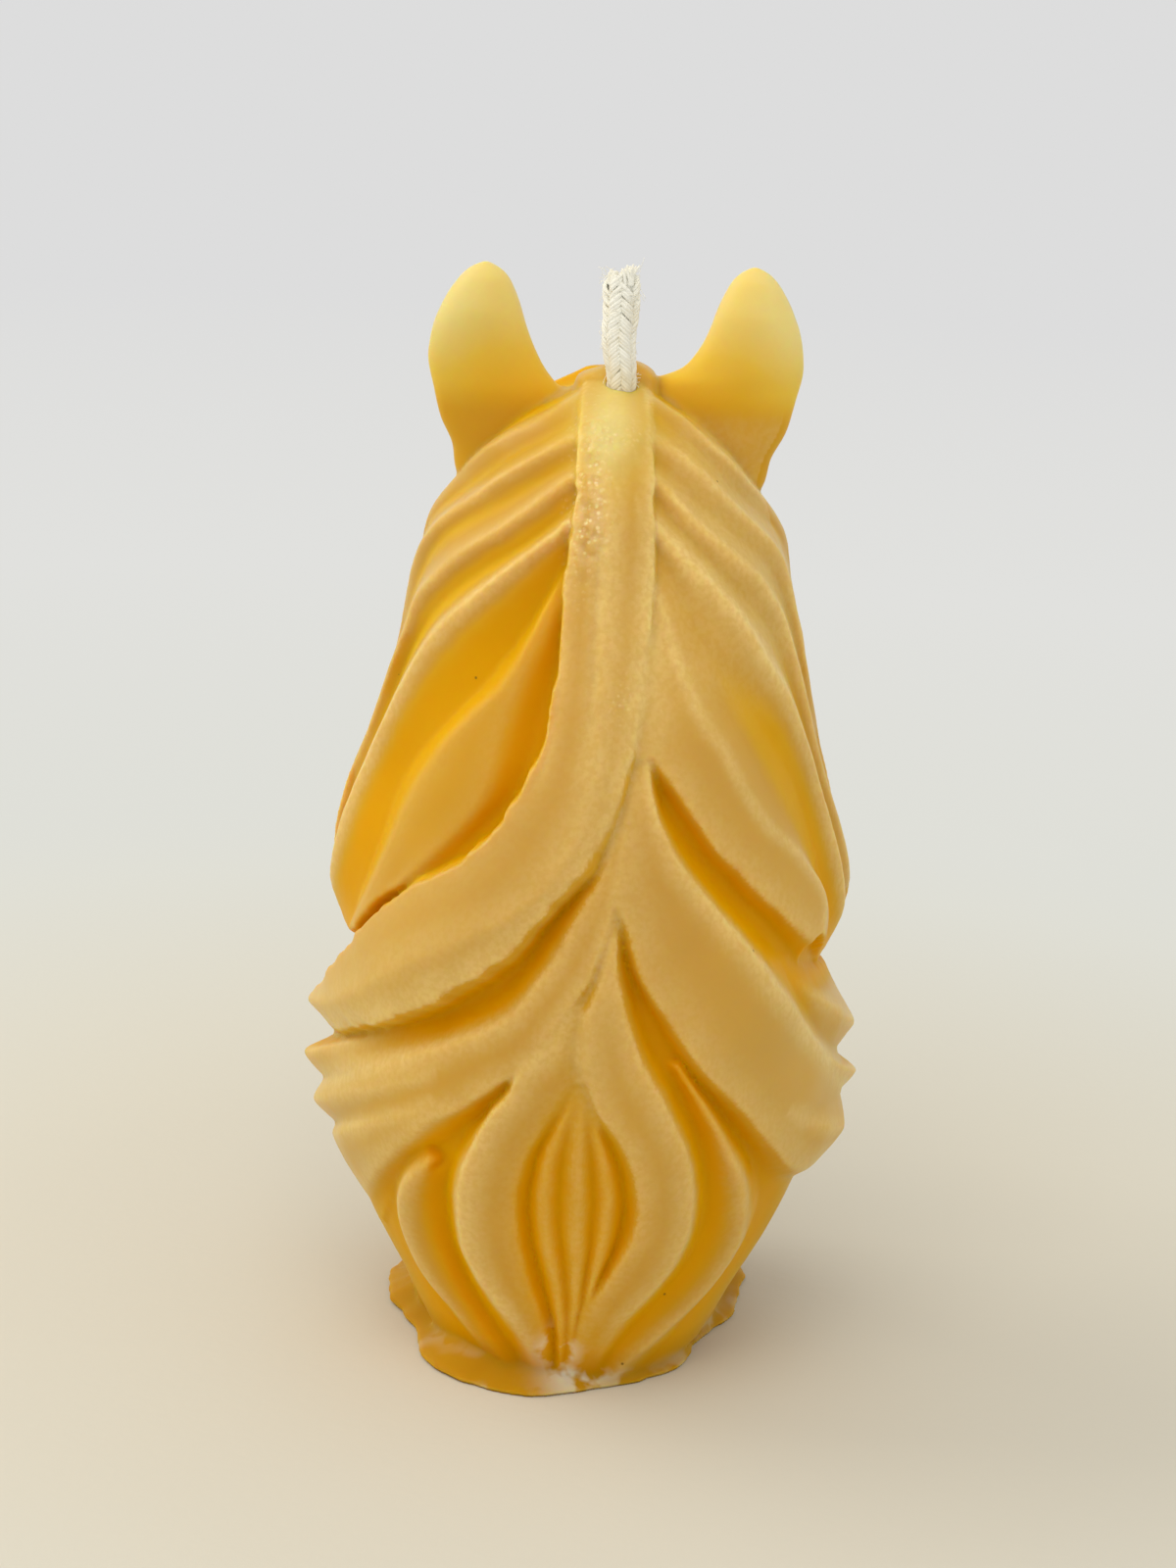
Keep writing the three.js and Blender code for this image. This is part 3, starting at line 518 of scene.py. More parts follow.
band_right = Edge([
    (-42, 80.3), (-26.5, 79.4), (-18.5, 77.8), (-16, 76), (-15, 74.4), (-13.5, 72.6), (-13, 71),
    (-12, 69), (-11.5, 67.2), (-11, 65.6), (-10.5, 64), (-10, 62.6), (-9, 61.2), (-9, 57.8), (-8, 56.2),
    (-7, 54.8), (-6, 53.2), (-5, 51.8), (-3.5, 50.4), (-2.5, 48.8), (-0.5, 47.4), (1.5, 46),
    (3.5, 44.8), (6.5, 43.2), (9, 41.4), (12.5, 39.4), (17.5, 37.8), (23, 36.2), (29, 34.6),
    (36.5, 32.8), (44.5, 31), (54.5, 29.2), (64, 27.4), (78, 25.6), (92, 24.6),
],
    (3.1, 3.4, 3.4, 3.4, 3.4, 3.4, 3.5, 3.6, 3.7, 3.7, 3.6, 3.6, 3.3, 2.8, 1.8),
    (1, 1, 0.9, 0.9, 0.8, 0.6), 2.4, ragged=0.2)
band_right_foot = Edge([
    (-44, 80), (-28, 78.8), (-19.6, 77), (-17, 75.4), (-15.2, 72.6), (-13.6, 69), (-12.4, 65.6),
    (-11.2, 62.6), (-10.3, 60), (-10.2, 57.6), (-9, 55.6), (-7.4, 53.2), (-6, 51.2), (-4.6, 49.2),
    (-2.6, 46.6), (-1, 45), (2, 43.4), (4.5, 42.2), (8, 40.6), (10.5, 38.8), (15.5, 36.8), (21, 35.2),
    (28.5, 33.4), (37, 31.6), (49.5, 29.4), (64.5, 26.8), (78, 24.4), (92, 23.2),
], (1.6, 2.0, 2.6, 2.8, 2.9, 3.0, 3.0, 2.9, 2.4, 1.0, 0.3, 0.2, 0.3, 0.5, 0.8, 1.4, 2.2, 1.4))

# The locks that part below the band and sweep to the sides, and the points that they end in
left_sweep_upper = Edge([
    (-10, 56), (-8, 54), (-6.6, 52), (-5.2, 50), (-4.2, 48), (-2.5, 46), (-1, 44.6), (1.5, 42),
    (4.5, 38.8), (8, 36.6), (10.5, 35), (14, 33.6), (18, 32.6), (26.5, 30.8), (35.5, 29), (43.5, 27.4),
    (58, 24.6), (78, 20.8), (92, 19),
], (2.3, 2.5, 2.5, 2.6, 2.7, 2.7, 2.7, 2.8, 2.9, 3.1, 2.0), 0.7, 1.2)
left_sweep_lower = Edge([
    (-9.5, 54), (-8.5, 52.2), (-7, 49.4), (-6, 47.6), (-5, 45.4), (-4.5, 44.4), (-3, 41), (-1.5, 38.8),
    (0, 36.8), (3.5, 34.4), (6.5, 32.2), (10, 30.2), (16.5, 28.2), (24, 25.8), (31, 24), (39.5, 21),
    (52.5, 16.4), (66, 12.6), (80, 10),
], (2.5, 2.7, 2.8, 2.8, 2.7, 2.6, 2.6, 2.6, 2.6, 2.5, 2.3), 0.7, 1.2)
left_sweep_foot = Edge([
    (-4.9, 43.6), (-3.4, 41.2), (-2.3, 39.2), (-1, 37), (1, 34.6), (4, 32.2), (8, 30), (12.5, 27.8),
    (18.5, 25.4), (26, 22.8), (35, 20.2), (45, 16.8), (54, 13.4), (64, 10),
], (2.4, 2.0, 1.4, 0.9, 0.6, 0.5, 0.6, 0.8, 1.2, 1.7, 2.2))
right_sweep_upper = Edge([
    (-11, 54.4), (-11.6, 53.2), (-12, 51.4), (-13, 49.8), (-15, 48.2), (-17, 46.6), (-19.5, 45.2),
    (-24, 43.2), (-28, 41.3), (-32.5, 39.4), (-37.5, 37.2), (-45.5, 34.2), (-55, 31), (-64.5, 27.6),
    (-76, 23.8), (-84, 21.6), (-92, 20),
], (2.6, 2.9, 2.9, 2.9, 2.9, 2.9, 2.9, 3.0, 3.4, 4.1, 2.6), 0.9, 1.0)
right_sweep_lower = Edge([
    (-9.5, 54), (-8.5, 52.2), (-7, 49.4), (-6, 47.6), (-5, 45.4), (-4.6, 44.2), (-5.5, 42.8),
    (-7, 41.4), (-8, 39.6), (-9.5, 37.8), (-12, 36.4), (-17, 33.8), (-23, 30.8), (-28.5, 28.6),
    (-35.5, 26), (-44, 22.6), (-55, 18.8), (-68, 16.6), (-80, 16.4), (-90, 17),
], (2.5, 2.8, 2.8, 2.8, 2.8, 2.8, 2.9, 2.9, 3.0, 3.2, 3.6, 2.4), 0.6, 2.0)
right_sweep_foot = Edge([
    (-4.9, 43.6), (-6.1, 41.2), (-7.9, 39), (-10, 37), (-13.2, 34.9), (-17.8, 32.3), (-24, 29.4),
    (-31, 26.4), (-40, 22.6), (-50, 18.6), (-60, 15.6), (-72, 13.6), (-84, 13),
], (2.4, 0.9, 0.3, 0.2, 0.2, 0.3, 0.4, 0.7, 1.1, 1.6, 2.2))

# The points that the swept locks split into at the sides: a crest, and the feet above and below it
left_point_a = Edge([
    (29.5, 32.4), (40.5, 30.6), (51, 28.8), (65, 26), (80, 22.8), (95, 20.4),
], (0.8, 1.6, 2.4, 3.4, 4.9, 1.4), 0.5)
left_point_b = Edge([
    (29.5, 28.4), (39.5, 26.4), (54, 23.6), (77, 19), (94, 16.4),
], (2.7, 2.9, 3.1, 3.6, 4.5, 1.4), 0.6)
left_point_b_foot = Edge([
    (30, 26.6), (42, 24), (56, 21), (76, 17), (92, 14),
], (2.5, 2.5, 2.5, 2.6, 2.8, 1.2))
left_point_c = Edge([
    (29.5, 25.6), (40.5, 23.2), (54, 20.4), (73, 16.6), (90, 13.6),
], (2.6, 2.8, 3, 3.3, 3.5, 1.2), 0.6)
right_point_a = Edge([
    (-42, 37.6), (-51, 35.2), (-66, 31.6), (-82, 27.6), (-97, 24.6),
], (0.8, 1.6, 2.6, 4.0, 4.6, 1.2), 0.6)
right_point_a_over = Edge([
    (-45, 38.5), (-56, 36), (-68, 34), (-84, 32.4), (-98, 31),
], (0.5, 0.8, 1.2, 1.6, 1))
right_point_a_foot = Edge([
    (-47, 34), (-60, 29.5), (-72, 26), (-86, 24.2), (-98, 22.6),
], (1.2, 1.8, 2.4, 2.9, 1))
right_point_b = Edge([(-58, 29.2), (-72, 25.6), (-84, 22.8), (-97, 20.4)], (2, 3, 4.2, 5.2, 1.4), 0.6)
right_point_b_foot = Edge([(-62, 26.6), (-74, 23), (-86, 20.6), (-98, 18.6)], (2, 2.8, 3.6, 4, 1.2))
right_point_c = Edge([
    (-50, 24.4), (-62, 21.6), (-76, 19.2), (-86, 17.6), (-96, 16.6),
], (2.8, 3.2, 4.2, 5, 3.6, 1.4), 0.6)

# The leaves at the foot: two close round an oval of fine strands, and two lie outside them
left_leaf_outer = Edge([
    (0.2, 36), (5, 32.4), (10, 30.2), (13, 28), (17, 25.4), (20, 22.4), (22.5, 19.2), (23.5, 16),
    (23.5, 12.8), (21.5, 10.4), (18, 8.2), (14, 6), (11, 4.2), (9.5, 2.4), (8.4, 0.2),
], (2.3, 2.7, 2.9, 2.9, 2.9, 2.9, 2.9, 2.8, 2.7, 2.2, 1.4), 0.9, 1.6)
left_leaf_inner = Edge([
    (0.6, 33.4), (0.4, 30.4), (2, 28.4), (5, 26.2), (7, 24.2), (9.5, 22), (11, 19), (11, 15.8),
    (10, 12.8), (8.5, 9.6), (6.5, 7), (5, 4.6), (4.5, 2.6), (4, 0.2),
], (2.2, 2.2, 2.2, 2.2, 2.2, 2.1, 2.0, 1.8, 1.2), 0.4, 1.2)
left_leaf_foot = Edge([
    (16, 26.8), (18.5, 25.2), (23.5, 23.4), (28, 20.6), (30.5, 18), (31.5, 15), (31.5, 11.2),
    (28.5, 7.4), (23, 4.4), (17, 2), (13, 0.2),
], (0.6, 0.7, 0.8, 0.8, 0.8, 0.9, 1.2))
left_outer_leaf = Edge([
    (31.5, 20.2), (38, 17.8), (43, 14.8), (44.5, 12), (43, 9.2), (39.5, 7.2), (34, 4.6), (28, 2.2),
    (23, 0.2),
], (2.0, 2.7, 2.8, 2.8, 2.8, 2.7, 2.3, 1.8, 1.2), 0.6, 1.2)
left_outer_leaf_inner = Edge([
    (33, 18.8), (34.6, 17), (35.6, 14.8), (35.4, 12.2), (33.6, 9.2), (30, 6.2), (24.6, 3), (18, 0.2),
], (1.7, 2.0, 2.0, 2.0, 1.9, 1.6))
left_outer_leaf_foot = Edge([
    (36, 21.4), (42, 18.9), (48, 15.9), (52, 13), (52, 9.5), (48, 6.5), (42, 4), (35, 1.5),
], (1, 1.4, 1.4, 1.4, 1.6))
left_plain_side = Edge([(52, 23), (60, 19), (68, 15), (71, 11), (69, 7), (64, 4), (56, 1)], 2.3)
right_leaf_outer = Edge([
    (-4.9, 43.6), (-4.9, 41), (-5, 38.8), (-5.5, 37.2), (-7.5, 34.4), (-11, 30.8), (-15, 28.2),
    (-18.5, 25.4), (-22, 22.6), (-24, 19.4), (-25, 16.2), (-24.5, 13.4), (-22, 11), (-18, 8.6),
    (-14, 6.6), (-12, 4.4), (-10.4, 2.4), (-9.4, 0.2),
], (2.2, 2.8, 2.9, 2.9, 2.9, 2.9, 2.9, 2.8, 2.6, 2.1, 1.3), 0.7, 1.3)
right_leaf_inner = Edge([
    (-4.9, 43.6), (-4.2, 40.8), (-3.1, 38), (-1.6, 36), (-0.4, 34), (-0.8, 30.8), (-3, 27.4),
    (-7.5, 24.6), (-11, 21.8), (-13, 18.8), (-13, 15.6), (-10.5, 12.6), (-6.5, 9.4), (-4.5, 6.6),
    (-3, 3.6), (-2.2, 0.2),
], (2.3, 2.8, 2.9, 2.8, 2.6, 2.4, 2.3, 2.2, 2.0, 1.7), 0.7, 1.2)
right_leaf_foot = Edge([
    (-4.9, 43.6), (-5.9, 41.4), (-7.5, 38.5), (-11, 35), (-14.5, 32.4), (-21, 28.6), (-25.5, 25),
    (-29.5, 21.4), (-32, 17.8), (-32.5, 14.8), (-30.5, 11.6), (-26, 9), (-21, 6.6), (-17, 4.4),
    (-14, 2.4), (-12.4, 0.2),
], (2.2, 0.9, 0.3, 0.3, 0.7, 1.0, 1.3, 1.5, 1.5, 1.4))
right_outer_leaf = Edge([
    (-20, 30.2), (-26.5, 26.6), (-32, 23), (-37.5, 19.4), (-42, 15.6), (-44.5, 12), (-42, 9.2),
    (-36, 6.6), (-28, 4.4), (-21, 2.2), (-16, 0.2),
], (1.6, 2.3, 2.7, 2.7, 2.7, 2.6, 2.2), 0.5, 1.4)
right_outer_leaf_foot = Edge([
    (-22, 30.4), (-31, 26.3), (-38, 23.3), (-46, 19.8), (-53, 16), (-56, 12.5), (-53, 9), (-46, 6),
    (-38, 3.6), (-28, 0.4),
], (0.4, 0.6, 0.8, 1.2, 1.5, 1.7, 1.8))
right_plain_side = Edge([(-50, 24), (-60, 19), (-68, 15), (-71, 11), (-69, 7), (-64, 4), (-56, 1)], 2.3)
oval = [
    Edge([
        (-0.2, 29.4), (2.2, 26.2), (6, 23.2), (8, 20), (9, 16.6), (8, 13.2), (5.5, 9.4), (3, 5.2),
        (2.4, 0.4),
    ], (2.1, 0.9, 0.6, 0.5, 0.5, 0.9)),
    Edge([
        (-0.3, 29.2), (1.4, 26.6), (3.6, 23.8), (4.7, 21), (5, 18), (4, 14.2), (2, 10.4), (0.8, 5.4),
        (0.6, 0.6),
    ], (2.2, 2.1, 2.2, 2.2, 2.1, 1.5), 0.5),
    Edge([
        (-0.4, 29), (0.4, 26.6), (1.2, 24), (2, 20.4), (2, 16.6), (1, 12.8), (0, 8.8), (-0.4, 5.2),
        (-0.4, 0.6),
    ], (2.0, 1.2, 1.1, 1.1, 1.0)),
    Edge([
        (-0.5, 29), (-0.6, 25.6), (-0.5, 22), (-1, 18.8), (-1, 15.4), (-1.5, 11.6), (-1.6, 5.2),
        (-1.2, 0.6),
    ], (2.2, 2.3, 2.3, 2.2, 1.6), 0.5),
    Edge([
        (-0.6, 29), (-1.5, 26.6), (-2.4, 23.8), (-3.5, 20.4), (-4, 16.8), (-4, 13), (-3.6, 9),
        (-2.6, 5.2), (-1.6, 0.6),
    ], (2.0, 1.2, 1.1, 1.1, 1.0)),
    Edge([
        (-0.7, 29.2), (-2.5, 26.4), (-4.4, 23.4), (-6, 20.6), (-6.5, 17.8), (-6, 14.6), (-5, 10.6),
        (-3.4, 5.4), (-1.8, 0.6),
    ], (2.2, 2.1, 2.2, 2.2, 2.1, 1.5), 0.5),
    Edge([
        (-0.8, 29.4), (-3, 26.2), (-7, 23), (-9.5, 20.4), (-11, 17.4), (-10.5, 14.2), (-8, 10.8),
        (-4.4, 5.6), (-2, 0.4),
    ], (2.1, 0.9, 0.6, 0.5, 0.5, 0.9)),
]

mane = Relief(0, CROWN, 0.2)
turned = np.abs(mane.angles)[None, :]
low_side = 1.6 * eased(58, 70, turned) * eased(20, 15, mane.places)[:, None] * eased(100, 94, turned)
mane.height[:] = 0.7 + low_side
for fan in (left_fan, right_fan):
    for above, crest, below in zip(fan[::2], fan[1::2], fan[2::2]):
        mane.lock(above, crest, below)
mane.span(left_facet[0], left_fan[8], 1.5, 1.6)
mane.span(left_facet[0], left_facet[1])
mane.span(left_facet[1], left_facet[2], 1.5, 1.3)
mane.span(left_facet[2], left_facet[3])
mane.span(right_facet[0], right_fan[8], 1.4, 1.7)
mane.span(right_facet[0], right_facet[1])
mane.span(right_facet[1].part(66, 54), band_right_foot.part(66, 54))
mane.span(right_facet[1].part(53.9, 37), right_facet[2].part(53.9, 35.4), 1.0, 1.5)
mane.span(band_left, band_crease)
mane.span(band_right, band_crease)
mane.span(band_right, band_right_foot, 1.2, 1.0)
mane.span(left_sweep_upper, band_right_foot.part(56, 20), 1.2, 1.5)
mane.span(left_sweep_upper, left_sweep_lower)
mane.span(left_sweep_lower.part(43.6, 8), left_sweep_foot, 1.3, 1.4)
mane.span(right_sweep_upper.part(53.9, 18), right_facet[2], 1.2, 1.5)
mane.span(right_sweep_upper, right_sweep_lower)
mane.span(right_sweep_lower.part(43.6, 12), right_sweep_foot, 1.2, 1.6)
mane.lock(band_right_foot.part(33.6, 20), left_point_a, left_sweep_upper.part(31, 17), (1.2, 1), (1.2, 1))
mane.lock(left_sweep_upper.part(30.4, 17), left_point_b, left_point_b_foot, (1.2, 1), (1.2, 1))
mane.lock(left_point_b_foot, left_point_c, left_sweep_lower.part(24.5, 8), (1.2, 1), (1.2, 1))
mane.lock(right_point_a_over, right_point_a, right_point_a_foot, (1.2, 1.2), (1.2, 1))
mane.lock(right_point_a_foot.part(30, 15), right_point_b, right_point_b_foot, (1.2, 1), (1.2, 1))
mane.lock(right_point_b_foot, right_point_c, right_sweep_lower.part(21, 10), (1.2, 1), (1.2, 1))
mane.span(left_leaf_outer.part(36, 26), left_sweep_foot.part(35.2, 25.6), 1.2, 1.4)
mane.span(left_leaf_outer.part(26.6, 0), left_leaf_foot, 1.2, 1.6)
mane.span(left_leaf_outer, left_leaf_inner, 1.6)
mane.span(left_leaf_inner.part(33.2, 29.2), right_leaf_inner.part(33.2, 29.2))
mane.span(left_leaf_inner.part(29.4, 0), oval[0], 1.0, 1.2)
mane.span(left_outer_leaf, left_outer_leaf_inner, 1.4)
mane.span(left_outer_leaf_inner, left_leaf_foot.part(20, 0), 1.3, 1.3)
mane.span(left_plain_side, left_outer_leaf_foot, 1.3, 1.4)
mane.span(left_outer_leaf, left_outer_leaf_foot, 1.2, 1.4)
mane.span(right_leaf_outer, right_leaf_foot, 1.2, 1.6)
mane.span(right_leaf_outer, right_leaf_inner, 1.6)
mane.span(right_leaf_inner.part(43.4, 30.4), left_sweep_foot.part(43.4, 31), 1.1, 1.2)
mane.span(right_leaf_inner.part(29.4, 0), oval[6], 1.0, 1.2)
mane.span(right_outer_leaf, right_leaf_foot.part(30.4, 0), 1.3, 1.5)
mane.span(right_outer_leaf, right_outer_leaf_foot, 1.3, 1.4)
mane.span(right_plain_side, right_outer_leaf_foot, 1.3, 1.4)
for above, crest, below in zip(oval[::2], oval[1::2], oval[2::2]):
    mane.lock(above, crest, below, (1.5, 1.1), (1.5, 1.1))
mane.bump(-1, 78, 2.9, 3.1, 0.35, DEGREE, 8)
mane.trench([(1.6, 73.5), (1.4, 68), (1.4, 62), (1.5, 55)], 0.2, 0.3)
mane.trench([(8.6, 63), (9, 58), (10, 54), (14.5, 50)], 0.2, 0.2)
plain = 0.85 * eased(76, 98, turned) * eased(44, 52, mane.places)[:, None]
mane.height += plain * (2.6 - mane.height)
mane.rub *= 1 - plain
mane.soften(0.8)
slope = np.hypot(*np.gradient(mane.height, mane.step, DEGREE * 360 / mane.columns))
steep = eased(0.9, 2.0, slope)
mane.rub *= eased(1.4, 2.7, mane.height) * (1 - 0.8 * steep)

shells = []


def skin(rings):
    """The faces of a closed skin over rings of points, an array of (rings, points in a ring, 3)."""
    rows, count = rings.shape[:2]
    first = (np.arange(rows - 1)[:, None] * count + np.arange(count)).ravel()
    second = (np.arange(rows - 1)[:, None] * count + (np.arange(count) + 1) % count).ravel()
    over = first + count
    faces = [np.stack([first, second, over], 1), np.stack([second, second + count, over], 1)]
    for base, middle in ((0, rows * count), ((rows - 1) * count, rows * count + 1)):
        rim = base + np.stack([np.arange(count), (np.arange(count) + 1) % count], 1)
        faces.append(np.column_stack([rim if base else rim[:, ::-1], np.full(count, middle)]))
    points = np.concatenate([rings.reshape(-1, 3), rings[:1].mean(1), rings[-1:].mean(1)])
    return points, np.concatenate(faces)


def add_shell(rings, rubbed=0.0, deep=0.0, ear=0.0):
    """Keeps a closed skin for the casting: how rubbed and how deep it is, the depth setting its painted
    hollow shade, and whether it is an ear.
    """
    points, faces = skin(rings)
    layers = []
    for value in (rubbed, deep, ear):
        grid = np.broadcast_to(value, rings.shape[:2]).ravel()
        layers.append(np.concatenate([grid, np.full(len(points) - len(grid), grid[-1])]))
    shells.append((points, faces, *layers))


angle_grid, height_grid = np.meshgrid(mane.angles, mane.places)
# How sunk each place is, steep walls too, fading out on the plain sides: it sets the painted shade and orange
# glow of the hollows
sunk = np.maximum(eased(2.95, 1.5, mane.height), 0.7 * steep) * (1 - 0.85 * eased(92, 112, turned))
add_shell(mane_point(angle_grid, height_grid, mane.height), mane.rub, sunk)

# The casting, its neck and head: the horse looks away from the crest, chin in. The face is
# smooth wax with round cheeks, lidded eyes, open nostrils and a short forelock.
FACE_TILT = math.radians(35)
POLL = np.array([0, 1, CROWN - 6.9])
DOWN_FACE = np.array([0, -math.sin(FACE_TILT), -math.cos(FACE_TILT)])
OUT_OF_FACE = np.array([0, -math.cos(FACE_TILT), math.sin(FACE_TILT)])

neck_front = through([
    (0, -17.5), (8, -17), (16, -14.6), (24, -11.8), (32, -9.6), (40, -8.6), (50, -9), (62, -9),
    (72, -7),
])
neck_back = through([(0, 8), (16, 8), (24, 6), (62, 6), (72, 5)])
neck_half = through([(0, 12), (8, 12.5), (50, 12.5), (62, 12), (72, 10)])
turn, height = np.meshgrid(np.linspace(0, 2 * np.pi, 200, endpoint=False), np.linspace(0, 72, 200))
front, behind = neck_front(height), neck_back(height)
add_shell(
    np.stack(
        [
            neck_half(height) * np.sin(turn),
            (front + behind) / 2 + (behind - front) / 2 * np.cos(turn),
            height,
        ],
        -1,
    )
)

forehead = through([
    (-5, 3), (-2, 6), (3, 8), (8, 9.4), (14, 9.6), (20, 8.9), (27, 7.6), (34, 6.6), (40, 6.1),
    (45, 5.9), (49, 5.1), (51, 4), (52.4, 2),
])
throat = through([
    (-5, 5), (-2, 7), (3, 9), (8, 11.5), (14, 13.5), (20, 14), (27, 12.6), (34, 9), (40, 7), (45, 6.8),
    (49, 6), (51, 4.8), (52.4, 2.6),
])
head_half = through([
    (-5, 5), (-2, 7.4), (3, 9), (8, 10.4), (14, 11), (20, 10.4), (27, 9), (34, 7.2), (40, 6.4),
    (45, 6.8), (49, 6.3), (51, 5), (52.4, 3),
])


def head_point(angle, along, rise):
    """A point of the head: degrees round from the forehead, a way down the face, and a rise."""
    s, c = np.sin(np.radians(angle)), np.cos(np.radians(angle))
    square = 1 + 0.1 * np.sin(np.radians(2 * angle)) ** 2
    reach = np.where(c > 0, forehead(along), throat(along)) + rise
    out = reach * c * square
    flat = POLL + DOWN_FACE * along[..., None] + OUT_OF_FACE * out[..., None]
    flat[..., 0] = (head_half(along) + rise) * s * square
    return flat


head = Relief(-5, 52.4, 0.2)
EYE_ANGLE, EYE_AT = 72, 18
NOSTRIL_ANGLE, NOSTRIL_AT = 52, 47.6
for side in (1, -1):
    head.bump(side * 125, 21, 7.5, 7.5, 1.9, power=4)  # cheek
    head.bump(side * 58, 14.5, 3, 4, 1.2)  # brow
    head.bump(side * 66, 8, 3, 3.4, -0.9)  # hollow over the eye
    head.bump(side * 84, 24, 3, 3.5, -0.7)  # hollow under the eye
    head.bump(side * 83, 31, 1.2, 6, 0.7)  # the bone down the cheek
    head.bump(side * 42, 34, 3, 7, -0.6)  # beside the bridge of the nose
    head.bump(side * EYE_ANGLE, EYE_AT, 2.3, 3.5, 0.8, power=3)  # lids
    head.bump(side * EYE_ANGLE, EYE_AT, 1.5, 2.4, -0.9, power=6)  # the opening between them
    head.bump(side * EYE_ANGLE, EYE_AT, 1.3, 1.7, 0.9)  # eyeball
    head.bump(side * NOSTRIL_ANGLE, NOSTRIL_AT, 2.6, 3.2, 0.9, power=3)  # rim of the nostril
    head.bump(side * NOSTRIL_ANGLE, NOSTRIL_AT + 0.4, 1.2, 1.8, -2.8, power=3)  # nostril
    head.trench([(side * 112, 51), (side * 106, 47.6), (side * 98, 44), (side * 100, 41)], 0.5, 1.1)  # mouth
lips = [(-112, 51), (-100, 51.2), (-60, 51.4), (0, 51.5), (60, 51.4), (100, 51.2), (112, 51)]
head.trench(lips, 0.25, 0.2)
head.bump(180, 45.4, 4.5, 3.2, 1.2, scale=0.12)  # chin

FORELOCK_RISE = 1.7
forelock = [
    ([(-16, -4), (-20, 3), (-17, 10), (-10, 17), (-4, 25)], [(6, -4), (7, 4), (4, 11), (0, 17), (-4, 25)]),
    ([(30, -3), (38, 3), (40, 9), (33, 14), (24, 20)], [(6, -4), (9, 4), (15, 10), (20, 14), (24, 20)]),
    (
        [(-42, -3), (-46, 3), (-45, 9), (-38, 14), (-30, 21)],
        [(-16, -4), (-21, 4), (-26, 10), (-28, 14), (-30, 21)],
    ),
]
hair = Relief(-5, 52.4, 0.2)
for first, second in forelock:
    middle = [((a + c) / 2, (b + d) / 2) for (a, b), (c, d) in zip(first, second)]
    crest = Edge(middle, (0.5, 1.6, FORELOCK_RISE, 1.4, 0.4), 0.6)
    hair.lock(Edge(first, 0), crest, Edge(second, 0), (1.8, 1), (1.8, 1))
head.height += hair.height
head.rub = hair.rub * 0.7
head.soften(1.6)
angle_grid, along_grid = np.meshgrid(head.angles, head.places)
add_shell(head_point(angle_grid, along_grid, head.height), head.rub)

# The casting, its ears: upright, cupped to the front and thin enough that light comes through.
EAR_FOOT = 70
EAR_TOP = 88.4
RIGHT_EAR_STRETCH = 1.035  # it stands a little taller
EAR_ROOT_Y = 0.5
EAR_THICK = 2.5
EAR_CUP = 2.0
ear_outer = through([
    (70, 11.5), (72, 12.5), (74, 12.9), (76, 13.9), (78.6, 14.6), (80.6, 15.05), (82.2, 14.95),
    (83.8, 14.6), (85.4, 13.9), (86.6, 13.2), (87.4, 12.6), (88, 11.9), (88.4, 11),
])
ear_inner = through([
    (70, 3.6), (77, 3.6), (79, 4.5), (80.3, 5.6), (81.8, 6.5), (83.4, 7.2), (85.3, 7.9), (86.4, 8.4),
    (87.4, 9.0), (88, 9.7), (88.4, 10.5),
])
right_ear_inner = through([
    (70, 2.6), (78.4, 2.6), (79.4, 2.9), (79.9, 3.7), (80.2, 4.6), (80.8, 5.6), (82, 6.5), (83.4, 7.2),
    (85.3, 7.9), (86.4, 8.4), (87.4, 9.0), (88, 9.7), (88.4, 10.5),
])
ear_lean = through([(70, 0), (78, 0), (83, -0.3), (86, -0.8), (88.4, -1.6)])
round_ear = np.linspace(0, 2 * np.pi, 120, endpoint=False)
turn, height = np.meshgrid(round_ear, np.linspace(EAR_FOOT, EAR_TOP, 150))
across, backward = np.cos(turn), np.sin(turn)
for side, stretch, inner in ((1, 1.0, ear_inner), (-1, RIGHT_EAR_STRETCH, right_ear_inner)):
    half = (ear_outer(height) - inner(height)) / 2
    middle = (ear_outer(height) + inner(height)) / 2
    thick = EAR_THICK * np.minimum(1, 0.3 + half / 4.6) * np.clip((88.6 - height) / 1.2, 0.2, 1) ** 0.5
    hollow = EAR_CUP * eased(76, 81, height) * eased(88, 84, height)
    round_back, flat_front = np.abs(backward) ** 0.85, np.abs(backward) ** 0.6
    ear_y = np.where(backward > 0, thick * 1.05 * round_back, -thick * 0.6 * flat_front)
    ear_y = ear_y + np.where(backward < 0, hollow * np.exp(-((across / 0.55) ** 2)), 0)
    ear_x = side * (middle + half * across)
    ear_z = EAR_FOOT + (height - EAR_FOOT) * stretch
    add_shell(np.stack([ear_x, EAR_ROOT_Y + ear_lean(height) + ear_y, ear_z], -1), deep=0.5, ear=1.0)

# The casting, its crown and foot: a blunt tuft of forelock that the wick comes up behind, and
# a thin uneven skirt where the base was melted level on a hot plate.
TUFT_TOP = 81.6
TUFT_HEIGHT = 9
foot_reach = through([
    (-180, 20), (-150, 19), (-121, 17.6), (-101, 15.8), (-84, 14.6), (-66, 13.6), (-47, 14.8),
    (-23, 17.6), (-10, 18.4), (4, 20.2), (16, 20.3), (25, 19.8), (40, 18), (57, 15.6), (76, 15),
    (93, 15.7), (112, 15.9), (135, 17), (158, 19.2), (180, 20),
])
turn, level_at = np.meshgrid(np.linspace(-np.pi, np.pi, 96, endpoint=False), np.linspace(0, 1, 30))
square = 1 / np.maximum(np.abs(np.sin(turn)), np.abs(np.cos(turn))) ** 0.6
closing = np.sqrt(np.clip(1 - eased(0.82, 1.0, level_at) ** 1.5, 0.05, 1))
top_slant = (0.35 - 0.75 * eased(-2, 1.6, 3.2 * np.sin(turn))) * eased(0.6, 1, level_at)
